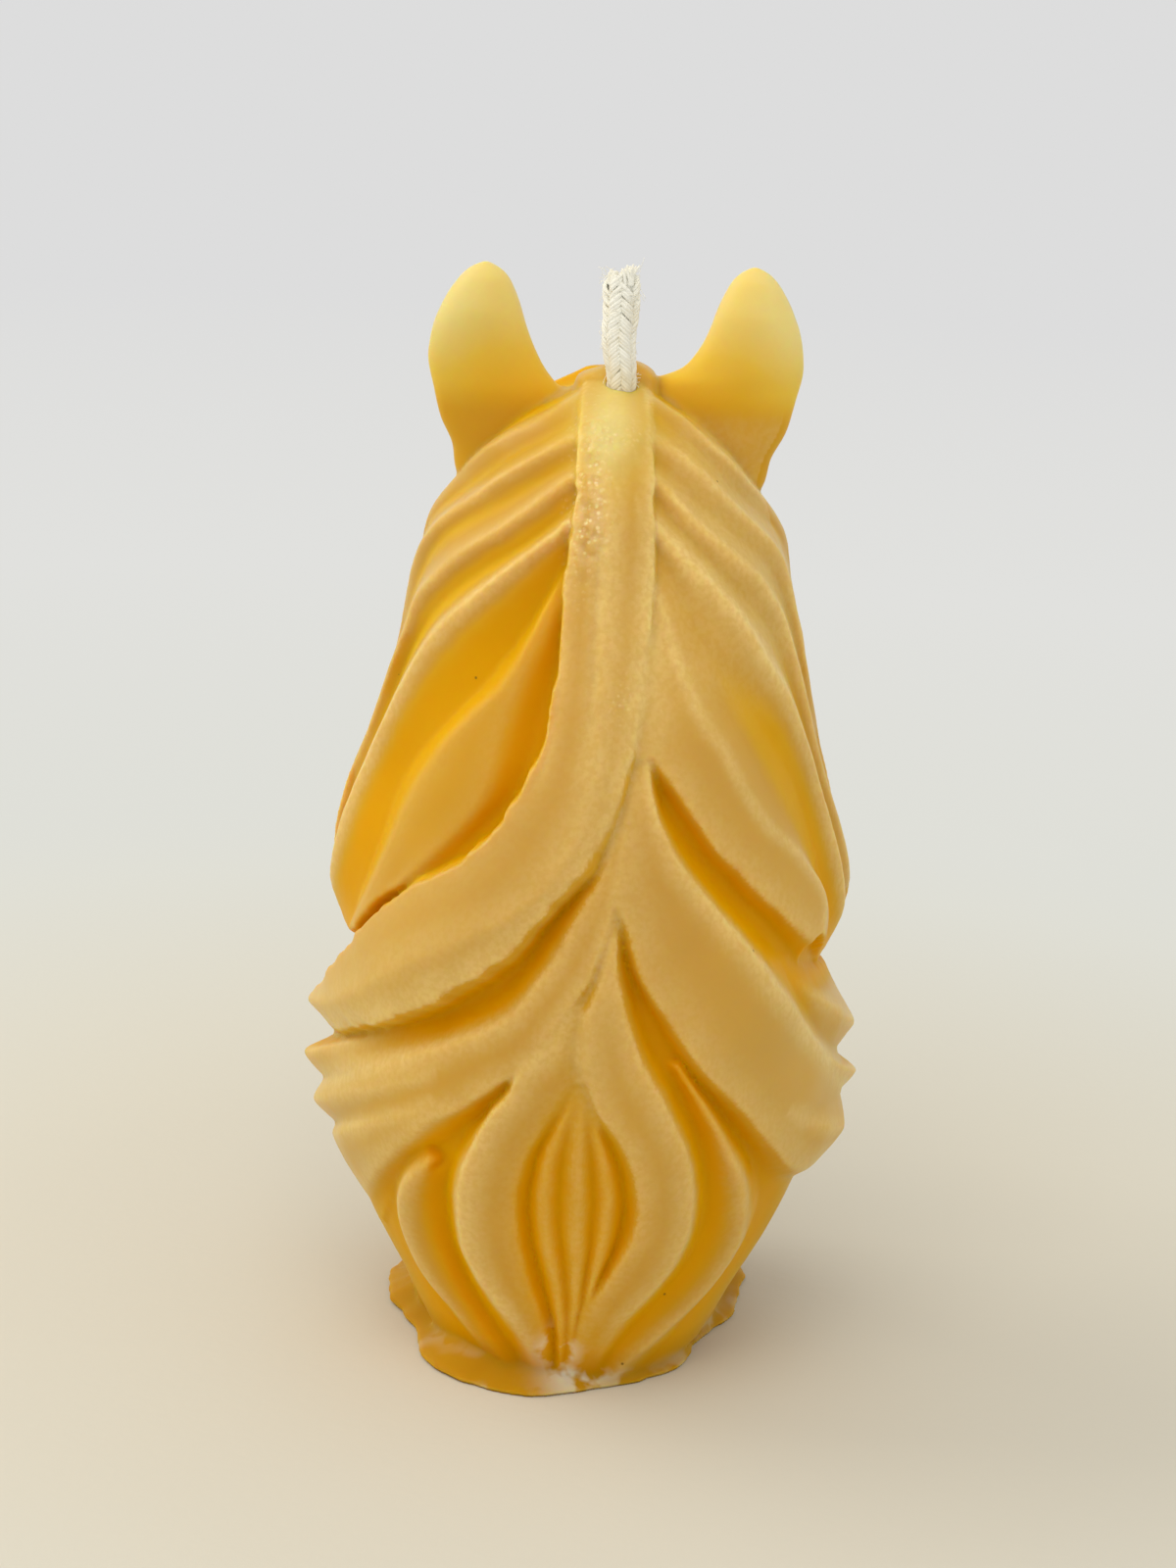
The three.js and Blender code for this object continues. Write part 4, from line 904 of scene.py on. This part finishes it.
tuft_z = TUFT_TOP - TUFT_HEIGHT + TUFT_HEIGHT * level_at + top_slant
add_shell(
    np.stack(
        [
            -0.1 + 3.3 * closing * np.sin(turn) * square,
            2.3 + 2.2 * closing * np.cos(turn) * square,
            tuft_z,
        ],
        -1,
    )
)

foot_share = through([
    (0, 0.97), (0.12, 0.995), (0.25, 1), (0.4, 0.985), (0.6, 0.94), (0.8, 0.86), (1, 0.79),
])
foot_up = through([(0, 0), (0.12, 0.1), (0.25, 0.22), (0.4, 0.36), (0.6, 0.55), (0.8, 0.85), (1, 1.3)])
turn, level_at = np.meshgrid(np.linspace(-180, 180, 720, endpoint=False), np.linspace(0, 1, 24))
around = np.stack([np.cos(np.radians(turn)), np.sin(np.radians(turn))], -1).reshape(-1, 2)
ragged = (0.5 * grain(around, 0.2, 5) + 0.2 * grain(around, 0.07, 6)).reshape(turn.shape)
lump = 0.5 + 0.5 * grain(around, 0.3, 8).reshape(turn.shape)
lip = 1.3 * np.exp(-(((turn - 78) / 22) ** 2)) + 0.5 * np.exp(-(((turn - 30) / 12) ** 2))
skirt = foot_reach(turn) + ragged * 0.8
share = foot_share(level_at)
add_shell(
    np.stack(
        [
            skirt * share * np.sin(np.radians(turn)),
            skirt * share * np.cos(np.radians(turn)),
            foot_up(level_at) * (0.8 + 0.7 * lump + lip),
        ],
        -1,
    ),
    deep=0.6,
)

# The casting is one body: the skins are joined and drawn over with an even mesh, and
# what a hand and a hot knife leave is worked into it.
VOXEL = 0.22
BASE_FLAT = 0.12


def as_mesh(name, points, faces, layers):
    """A mesh of points and faces, with a value for each point in every layer."""
    mesh = bpy.data.meshes.new(name)
    mesh.from_pydata(points.tolist(), [], faces.tolist())
    for layer, values in layers.items():
        mesh.attributes.new(layer, "FLOAT", "POINT").data.foreach_set("value", values.astype(np.float32))
    return mesh


def read_points(mesh):
    """Where a mesh's points are."""
    flat = np.empty(len(mesh.vertices) * 3, np.float32)
    mesh.vertices.foreach_get("co", flat)
    return flat.reshape(-1, 3).astype(float)


def read_layer(mesh, name):
    """The values of one of a mesh's layers."""
    values = np.empty(len(mesh.vertices), np.float32)
    mesh.attributes[name].data.foreach_get("value", values)
    return values.astype(float)


def read_normals(mesh):
    """The way out of the surface at each of a mesh's points."""
    flat = np.empty(len(mesh.vertices) * 3, np.float32)
    mesh.vertex_normals.foreach_get("vector", flat)
    return flat.reshape(-1, 3).astype(float)


def remeshed(piece, voxel):
    """Joins a piece's closed skins into one even mesh."""
    bpy.context.view_layer.objects.active = piece
    for other in bpy.context.selected_objects:
        other.select_set(False)
    piece.select_set(True)
    piece.data.remesh_voxel_size = voxel
    piece.data.use_remesh_preserve_attributes = True
    bpy.ops.object.voxel_remesh()


def neighbours(mesh):
    """A function that gives each point of a mesh the mean of its neighbours' values."""
    edges = np.empty(len(mesh.edges) * 2, np.int32)
    mesh.edges.foreach_get("vertices", edges)
    first, second = edges.reshape(-1, 2).T
    size = len(mesh.vertices)
    count = np.bincount(first, minlength=size) + np.bincount(second, minlength=size)

    def mean(values):
        total = np.stack(
            [
                np.bincount(first, column[second], size) + np.bincount(second, column[first], size)
                for column in values.reshape(size, -1).T
            ],
            1,
        )
        return (total / np.maximum(count, 1)[:, None]).reshape(values.shape)

    return mean


def evened(values, rounds, share=0.5):
    """Values on the casting, each drawn a share of the way to its neighbours' mean, over and over."""
    for _ in range(rounds):
        values = values + share * (mean(values) - values)
    return values


points, faces, layers = [], [], [[], [], []]
start = 0
for shell_points, shell_faces, *shell_layers in shells:
    points.append(shell_points)
    faces.append(shell_faces + start)
    start += len(shell_points)
    for layer, values in zip(layers, shell_layers):
        layer.append(values)
names = ("rubbed", "deep", "ear")
casting = bpy.data.objects.new(
    "beeswax_casting",
    as_mesh(
        "beeswax_casting",
        np.concatenate(points),
        np.concatenate(faces),
        {name: np.concatenate(layer) for name, layer in zip(names, layers)},
    ),
)
bpy.context.scene.collection.objects.link(casting)
remeshed(casting, VOXEL)

points = read_points(casting.data)
mean = neighbours(casting.data)
x, y, z = points.T
root = np.exp(-(((np.abs(x) - 5) / 3) ** 2) - ((z - 79) / 2.2) ** 2) * eased(-9, -3, y)
calm = np.clip(root + 0.5 * eased(1.8, 0.8, z), 0, 1)
points = evened(evened(points, 2), 24, (0.6 * calm)[:, None])
x, y, z = points.T

# How hollow or proud each place is, from an evened copy of the casting
casting.data.vertices.foreach_set("co", points.astype(np.float32).ravel())
casting.data.update()
normals = read_normals(casting.data)
hollow = evened(((evened(points, 60, 0.7) - points) * normals).sum(1), 3)
proud = evened(-((evened(points, 8, 0.7) - points) * normals).sum(1), 3)
rubbed, deep, ear = (read_layer(casting.data, name) for name in names)
deep = evened(deep, 3)
ear = evened(ear, 8)


def patch(at_x, at_z, wide, tall):
    """1 at a place on the back of the casting, fading out over its half-width and half-height."""
    return np.exp(-(((x - at_x) / wide) ** 2) - ((z - at_z) / tall) ** 2) * (y > 0)


# Where the band was chipped while the wax was brittle, and where the foot's melt has bubbles
chipped = 1.3 * patch(1.5, 72, 1.3, 4.6) + 0.5 * patch(-1.7, 58.4, 0.9, 1.6) + 0.4 * patch(0, 77, 2.6, 1)
chipped = np.clip(chipped, 0, 1)
frosted = 1.3 * patch(0.6, 3.2, 1.5, 1.6) + 1.2 * patch(-1.2, 0.8, 2.4, 0.7)
frosted = np.clip(frosted + 0.3 * eased(1.9, 0.9, z) * eased(0.1, 0.6, grain(points, 2.4, 16)), 0, 1)

# What a hand leaves on soft wax, the grain of its skin, and the pits of the chips and bubbles
hand = 0.09 * grain(points, 7, 11) + 0.04 * grain(points, 2.6, 12)
skin_grain = 0.016 * grain(points, 0.9, 13) * (0.5 + rubbed)
chips = 0.15 * chipped * (1 - 2 * np.abs(grain(points, 0.9, 14))) + 0.07 * frosted * grain(points, 0.6, 15)
points += normals * (hand + skin_grain + chips)[:, None] * eased(0.1, 2, z)[:, None]
z[z < BASE_FLAT] = 0

# What the material goes by: the upper right fans paler, painted light in the thin ears and on the band's
# rounded top under the wick, and the rest as it was worked out above
# The upper right fans made paler: less deep in tone and more rubbed in colour
paler_upper_right = eased(-2, -6, x) * eased(54, 62, z) * eased(79, 76, z) * (y > 2)
deep *= 1 - 0.6 * paler_upper_right * (1 - ear)
aside = np.abs(x)
# The band's rounded top under the wick gets painted light, in the pale tones of the ears' tips
lit_band_top = 0.85 * patch(0.3, 77, 3.4, 3.8)
painted_glow = 0.8 * eased(77, 86.5, z) + 0.3 * eased(9.5, 14.5, aside)
painted_glow = np.where(ear < 0.05, 1.2 * lit_band_top, painted_glow)
ear *= eased(76.5, 79.5, z) * eased(3.2, 4.6, aside)
layers = {
    "rubbed": np.clip(0.8 * rubbed + 0.4 * eased(0.03, 0.2, proud) + 0.35 * paler_upper_right, 0, 1),
    "deep": np.clip(np.maximum(deep, 0.9 * eased(0.1, 1.1, hollow)), 0, 1),
    "painted_glow": np.clip(painted_glow, 0, 1),
    "clear": np.maximum(ear, lit_band_top * (ear < 0.05)),
    "chipped": chipped,
    "frosted": frosted,
}
casting.data.vertices.foreach_set("co", (points * mm).astype(np.float32).ravel())
for name, values in layers.items():
    layer = casting.data.attributes.get(name) or casting.data.attributes.new(name, "FLOAT", "POINT")
    layer.data.foreach_set("value", values.astype(np.float32))
casting.data.update()

# The channel that the wick runs in, cast round a pin
CHANNEL_RADIUS = 1.25
PIN_ENDS = (-2.0, 88.0)
wick_x = through([(0, -0.5), (78, -0.5), (80.5, -0.5), (83.4, -0.15), (86, -0.2), (89.4, -0.05)])
WICK_Y = 5.0
turn, height = np.meshgrid(np.linspace(0, 2 * np.pi, 32, endpoint=False), PIN_ENDS)
pin_x, pin_y = wick_x(0) + CHANNEL_RADIUS * np.cos(turn), WICK_Y + CHANNEL_RADIUS * np.sin(turn)
pin_points, pin_faces = skin(np.stack([pin_x, pin_y, height], -1))
pin = bpy.data.objects.new("channel_pin", as_mesh("channel_pin", pin_points * mm, pin_faces, {}))
bpy.context.scene.collection.objects.link(pin)
cut = casting.modifiers.new("channel", "BOOLEAN")
cut.operation = "DIFFERENCE"
cut.solver = "MANIFOLD"
cut.object = pin
cored = bpy.data.meshes.new_from_object(casting.evaluated_get(bpy.context.evaluated_depsgraph_get()))
casting.modifiers.clear()
casting.data = cored
bpy.data.objects.remove(pin)
casting.data.shade_smooth()

# Beeswax, cast in a silicone mould: a satin skin over wax that light sinks millimetres into, so
# hollows and thin ears glow orange and yellow, a glow and shade that are also painted into its colour,
# while handling has rubbed the edges paler and drier.
# From crest to valley the tones paint the shade and orange glow of the hollows; the HIGH tones, lighter and
# yellower, paint light from above on the upper mane
CREST_COLOR = "#d0a346"
FACE_COLOR = "#ce9c32"
LOW_HOLLOW_COLOR = "#d49e14"
LOW_VALLEY_COLOR = "#de9e00"
HIGH_HOLLOW_COLOR = "#dca81e"
HIGH_VALLEY_COLOR = "#dca206"
RUBBED_COLOR = "#ebd088"
EAR_ROOT_COLOR = "#e6b622"
EAR_COLOR = "#e6c44c"
EAR_TIP_COLOR = "#e4d488"
FROST_COLOR = "#f1e6cc"
GLINT_COLOR = "#f4e2a4"
DUST_COLOR = "#6a4a1a"
LIGHT_DEPTH = 1.6 * mm  # how far red light travels in the wax
BLOOM_SIZE = 0.26  # of the specks of bloom, in mm
CLOUD_SIZE = 9.0  # of its cloudier and clearer places, in mm
CHIP_SIZE = 0.5  # of the facets where it was chipped, in mm
DUST_APART = 5.5  # of the specks of dust in it, in mm

wax, wax_out = fresh("cast_beeswax")
wax_place = node(wax, "TexCoord").outputs["Object"]
rubbed_at, deep_at, painted_glow_at, ears_and_lit_top_at, chipped_at, frosted_at = (
    node(wax, "Attribute", {"attribute_name": name}).outputs["Fac"] for name in layers
)
cloud = node(wax, "TexNoise", Vector=wax_place, Scale=500 / CLOUD_SIZE, Detail=3.0).outputs[0]
bloom = node(wax, "TexNoise", Vector=wax_place, Scale=500 / BLOOM_SIZE, Detail=2.0).outputs[0]
patches = node(wax, "TexNoise", Vector=wax_place, Scale=500 / BLOOM_SIZE / 5, Detail=3.0).outputs[0]
swells = node(wax, "TexNoise", Vector=wax_place, Scale=500 / BLOOM_SIZE / 6, Detail=3.0).outputs[0]

# Painted light: the hollows' tones go orange low down and lighter and yellower towards the crown, as light
# from above falls on the upper mane
rise_up = node(wax, "SeparateXYZ", Vector=wax_place).outputs["Z"]
low_tones = [(0, CREST_COLOR), (0.3, FACE_COLOR), (0.65, LOW_HOLLOW_COLOR), (1, LOW_VALLEY_COLOR)]
high_tones = [(0, CREST_COLOR), (0.3, FACE_COLOR), (0.65, HIGH_HOLLOW_COLOR), (1, HIGH_VALLEY_COLOR)]
low_tone, high_tone = (
    node(wax, "ValToRGB", stops=[(at, linear(color)) for at, color in tones], Fac=deep_at).outputs[0]
    for tones in (low_tones, high_tones)
)
painted_top_light = node(wax, "MapRange", Value=rise_up, From_Min=42 * mm, From_Max=66 * mm).outputs[0]
tone = node(wax, "Mix", {"data_type": "RGBA"}, _0=painted_top_light, _6=low_tone, _7=high_tone).outputs[2]

# Rubbed places: specks of bloom that gather in patches, thickest along the edges
speck = node(wax, "MapRange", Value=bloom, From_Min=0.38, From_Max=0.6).outputs[0]
gather = node(wax, "MapRange", Value=patches, From_Min=0.3, From_Max=0.62, To_Min=0.75, To_Max=1.0).outputs[0]
speckled = node(wax, "Math", {"operation": "MULTIPLY_ADD"}, _0=speck, _1=0.32, _2=0.68).outputs[0]
worn = node(wax, "Math", {"operation": "MULTIPLY"}, _0=rubbed_at, _1=speckled).outputs[0]
worn = node(wax, "Math", {"operation": "MULTIPLY"}, _0=worn, _1=gather).outputs[0]
tone = node(wax, "Mix", {"data_type": "RGBA"}, _0=worn, _6=tone, _7=linear(RUBBED_COLOR)).outputs[2]

# Ears, in painted light: deep yellow at the root, where the wax is thick, to pale at the tip and the
# outer rim, where light comes through. The same pale painted light lies on the band's rounded top under the
# wick.
ear_tones = [(0, EAR_ROOT_COLOR), (0.42, EAR_COLOR), (0.95, EAR_TIP_COLOR)]
ear_stops = [(at, linear(color)) for at, color in ear_tones]
ear_tone = node(wax, "ValToRGB", stops=ear_stops, Fac=painted_glow_at).outputs[0]
tone = node(wax, "Mix", {"data_type": "RGBA"}, _0=ears_and_lit_top_at, _6=tone, _7=ear_tone).outputs[2]

# Frost in the foot's melt, painted glints where the band was chipped, and specks of dust in the wax
flake = node(wax, "MapRange", Value=swells, From_Min=0.44, From_Max=0.52).outputs[0]
frost = node(wax, "Math", {"operation": "MULTIPLY"}, _0=frosted_at, _1=flake).outputs[0]
tone = node(wax, "Mix", {"data_type": "RGBA"}, _0=frost, _6=tone, _7=linear(FROST_COLOR)).outputs[2]
chip_cells = node(wax, "TexVoronoi", Vector=wax_place, Scale=1000 / CHIP_SIZE).outputs["Distance"]
glint = node(wax, "MapRange", Value=chip_cells, From_Min=0.42, From_Max=0.2).outputs[0]
glint = node(wax, "Math", {"operation": "MULTIPLY"}, _0=glint, _1=speck).outputs[0]
glint = node(wax, "Math", {"operation": "MULTIPLY"}, _0=chipped_at, _1=glint).outputs[0]
tone = node(wax, "Mix", {"data_type": "RGBA"}, _0=glint, _6=tone, _7=linear(GLINT_COLOR)).outputs[2]
grit = node(wax, "TexVoronoi", Vector=wax_place, Scale=1000 / DUST_APART).outputs["Distance"]
dust = node(wax, "MapRange", Value=grit, From_Min=0.026, From_Max=0.016, To_Min=0.0, To_Max=0.8).outputs[0]
tone = node(wax, "Mix", {"data_type": "RGBA"}, _0=dust, _6=tone, _7=linear(DUST_COLOR)).outputs[2]

# Cloudier and clearer places, and the tone darker close above the table
cloudy = node(wax, "MapRange", Value=cloud, From_Min=0.3, From_Max=0.7, To_Min=0.95, To_Max=1.05).outputs[0]
by_table = node(
    wax, "MapRange", Value=rise_up, From_Min=0.5 * mm, From_Max=3.4 * mm, To_Min=0.75, To_Max=1.0
).outputs[0]
shade = node(wax, "Math", {"operation": "MULTIPLY"}, _0=cloudy, _1=by_table).outputs[0]
tone = node(wax, "HueSaturation", Color=tone, Value=shade).outputs[0]

# Gloss: rubbed wax is drier, hollows are dull and chipped facets shine. Its fine relief is the
# pits of the bloom, the soft swells of the cast skin and the facets of the chips.
rough = node(wax, "MapRange", Value=worn, To_Min=0.4, To_Max=0.6).outputs[0]
sheen = node(wax, "MapRange", Value=deep_at, From_Min=0, From_Max=0.6, To_Min=0.35, To_Max=0.0).outputs[0]
sheen = node(wax, "Math", {"operation": "MAXIMUM"}, _0=sheen, _1=chipped_at).outputs[0]
chip_height = node(wax, "Math", {"operation": "MULTIPLY"}, _0=chip_cells, _1=chipped_at).outputs[0]
pits = node(wax, "Bump", Height=bloom, Distance=0.02 * mm, Strength=0.3)
swell = node(wax, "Bump", Height=swells, Distance=0.08 * mm, Strength=0.25, Normal=pits.outputs[0])
facets = node(wax, "Bump", Height=chip_height, Distance=0.25 * mm, Strength=0.7, Normal=swell.outputs[0])
wax_skin = node(
    wax,
    "BsdfPrincipled",
    Base_Color=tone,
    Roughness=rough,
    IOR=1.44,
    Specular_IOR_Level=0.04,
    Coat_Weight=sheen,
    Coat_Roughness=0.22,
    Subsurface_Weight=1.0,
    Subsurface_Radius=(1.0, 0.55, 0.12),
    Subsurface_Scale=LIGHT_DEPTH,
    Normal=facets.outputs[0],
)
wax.node_tree.links.new(wax_skin.outputs[0], wax_out.inputs[0])
casting.data.materials.clear()
casting.data.materials.append(wax)
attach(casting, "root")
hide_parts("wax_body")

# The wick: cotton plaited square, that the casting was poured round, then cut a finger's width
# above the crown. Its strands are plaited tight, the cut end has frayed, and wax has soaked its foot.
WICK_FOOT = 0.6
WICK_EXIT = 79.4
WICK_TOP = 89.2
STITCH = 1.25  # from one strand to the next along the plait
COLUMNS = 6  # of strands round the wick, in pairs that rise towards a seam
THREAD_RADIUS = 0.18
THREADS = 4  # in a strand
FRAYED = 64  # loose strands at the cut end
FUZZ = 150  # single fibres that stand off it
FUZZ_RADIUS = 0.022
wick_radius = through([(0, 1.15), (79, 1.12), (80.5, 1.1), (83.4, 1.26), (86, 1.32), (89.4, 1.42)])
wick_parts = []


def tube(path, radius, sides=7):
    """A closed tube along a path of points, whose radius is one value or one for each point."""
    along = np.gradient(path, axis=0)
    along /= np.linalg.norm(along, axis=1)[:, None]
    side = np.cross(along, [0.31, 0.22, 0.92] if abs(along[:, 2]).mean() < 0.8 else [0.9, 0.4, 0.1])
    side /= np.linalg.norm(side, axis=1)[:, None]
    other = np.cross(along, side)
    turn = np.linspace(0, 2 * np.pi, sides, endpoint=False)[None, :, None]
    wide = np.broadcast_to(radius, len(path))[:, None, None]
    ring = np.cos(turn) * side[:, None] + np.sin(turn) * other[:, None]
    wick_parts.append(skin(path[:, None] + wide * ring))


def on_wick(turn, out, z):
    """A point of the wick: radians round it from the back, a way out from its middle, and a height."""
    turn, out, z = np.broadcast_arrays(turn, out, z)
    return np.stack([wick_x(z) + out * np.sin(turn), WICK_Y + out * np.cos(turn), z], -1)


height = np.array([WICK_FOOT, WICK_FOOT + 0.2, *np.linspace(10, 78, 12), *np.linspace(79.2, 88, 12)])
core_radius = wick_radius(height) - 0.38 * eased(79, 80, height)
tube(on_wick(0, 0, height), core_radius, 24)
random = np.random.default_rng(7)
share = np.linspace(-1, 1, 11)
for column in range(COLUMNS):
    leans = 1 if column % 2 else -1
    middle = 2 * np.pi * (column + 0.5) / COLUMNS
    for z in np.arange(WICK_EXIT - 0.5 + (0.5 * STITCH if column % 2 else 0), WICK_TOP - 1.1, STITCH):
        loose = 0.3 + 0.7 * eased(83, 88, z)
        puff = random.normal(0, 0.05, 2) * loose
        for i in range(THREADS):
            lane = (i - (THREADS - 1) / 2) / (THREADS / 2)
            wander = random.normal(0, 0.07 * loose, 3)
            turn = middle + leans * (share * 0.52 * 1.08 + wander[0])
            up = z + 0.5 * STITCH * (share * 1.05 + lane * 0.88) + wander[1] + puff[1]
            out = wick_radius(up) - 0.1 + 0.06 * (1 - lane**2) - 0.34 * share**2 + puff[0]
            out = out + 0.4 * wander[2] * share
            tube(on_wick(turn, out, up), THREAD_RADIUS * (1 - 0.3 * share**2))
# The frayed end: loose strands, longest towards -X
for _ in range(FRAYED):
    turn, spread_out = random.uniform(0, 2 * np.pi), random.uniform(0.1, 1.0) ** 0.5
    side_x = spread_out * np.sin(turn)
    long = 1.1 + 0.55 * eased(0.3, -0.5, side_x) - 0.35 * np.exp(-(((side_x - 0.1) / 0.25) ** 2))
    rise = np.linspace(0, long * random.uniform(0.75, 1.05), 9)
    out = spread_out * 1.15 + 0.12 * random.normal() * rise**1.5
    path = on_wick(turn, out, WICK_TOP - 1.45 + rise)
    path[:, :2] += random.normal(0, 0.08, 2) * rise[:, None] ** 2
    tube(path, 0.13 * (1 - 0.5 * (rise / rise[-1]) ** 3))
# Fuzz: single fibres that stand off the plait
for _ in range(FUZZ):
    z = random.uniform(WICK_EXIT + 0.3, WICK_TOP - 0.3)
    turn = random.uniform(0, 2 * np.pi)
    far = np.linspace(0, 1, 8)
    curl = random.normal(0, 0.5, 3)
    out = wick_radius(z) - 0.2 + random.uniform(0.25, 0.7) * far
    tube(on_wick(turn + curl[0] * far, out, z + curl[1] * far + curl[2] * far**2), FUZZ_RADIUS, 4)

starts = np.cumsum([0, *[len(part) for part, _ in wick_parts]])
wick = bpy.data.objects.new(
    "braided_wick",
    as_mesh(
        "braided_wick",
        np.concatenate([part for part, _ in wick_parts]) * mm,
        np.concatenate([part_faces + start for (_, part_faces), start in zip(wick_parts, starts)]),
        {},
    ),
)
wick.data.shade_smooth()
bpy.context.scene.collection.objects.link(wick)

# Cotton yarn: white, dull and soft, a little duller in blotches, and beige where wax has soaked
# up into it just above the crown.
COTTON_COLOR = "#fbfbf4"
SHADE_COLOR = "#f6f3e6"
SOAKED_COLOR = "#ece2c2"
FIBRE_SIZE = 0.07  # between the ridges of the yarn, in mm

cotton, cotton_out = fresh("braided_cotton")
cotton_place = node(cotton, "TexCoord").outputs["Object"]
fibres = node(cotton, "TexNoise", Vector=cotton_place, Scale=500 / FIBRE_SIZE, Detail=2.0).outputs[0]
blotches = node(cotton, "TexNoise", Vector=cotton_place, Scale=500 / 0.9, Detail=2.0).outputs[0]
cotton_tones = [(0.35, linear(SHADE_COLOR)), (0.6, linear(COTTON_COLOR))]
cotton_tone = node(cotton, "ValToRGB", stops=cotton_tones, Fac=blotches).outputs[0]
cotton_up = node(cotton, "SeparateXYZ", Vector=cotton_place).outputs["Z"]
soaked = node(cotton, "MapRange", Value=cotton_up, From_Min=82 * mm, From_Max=79.3 * mm).outputs[0]
cotton_tone = node(
    cotton, "Mix", {"data_type": "RGBA"}, _0=soaked, _6=cotton_tone, _7=linear(SOAKED_COLOR)
).outputs[2]
cotton_bump = node(cotton, "Bump", Height=fibres, Distance=0.02 * mm, Strength=0.6)
yarn = node(
    cotton,
    "BsdfPrincipled",
    Base_Color=cotton_tone,
    Roughness=0.9,
    Specular_IOR_Level=0.2,
    Sheen_Weight=0.25,
    Normal=cotton_bump.outputs[0],
)
cotton.node_tree.links.new(yarn.outputs[0], cotton_out.inputs[0])
wick.data.materials.append(cotton)
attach(wick, "root")
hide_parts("wick")
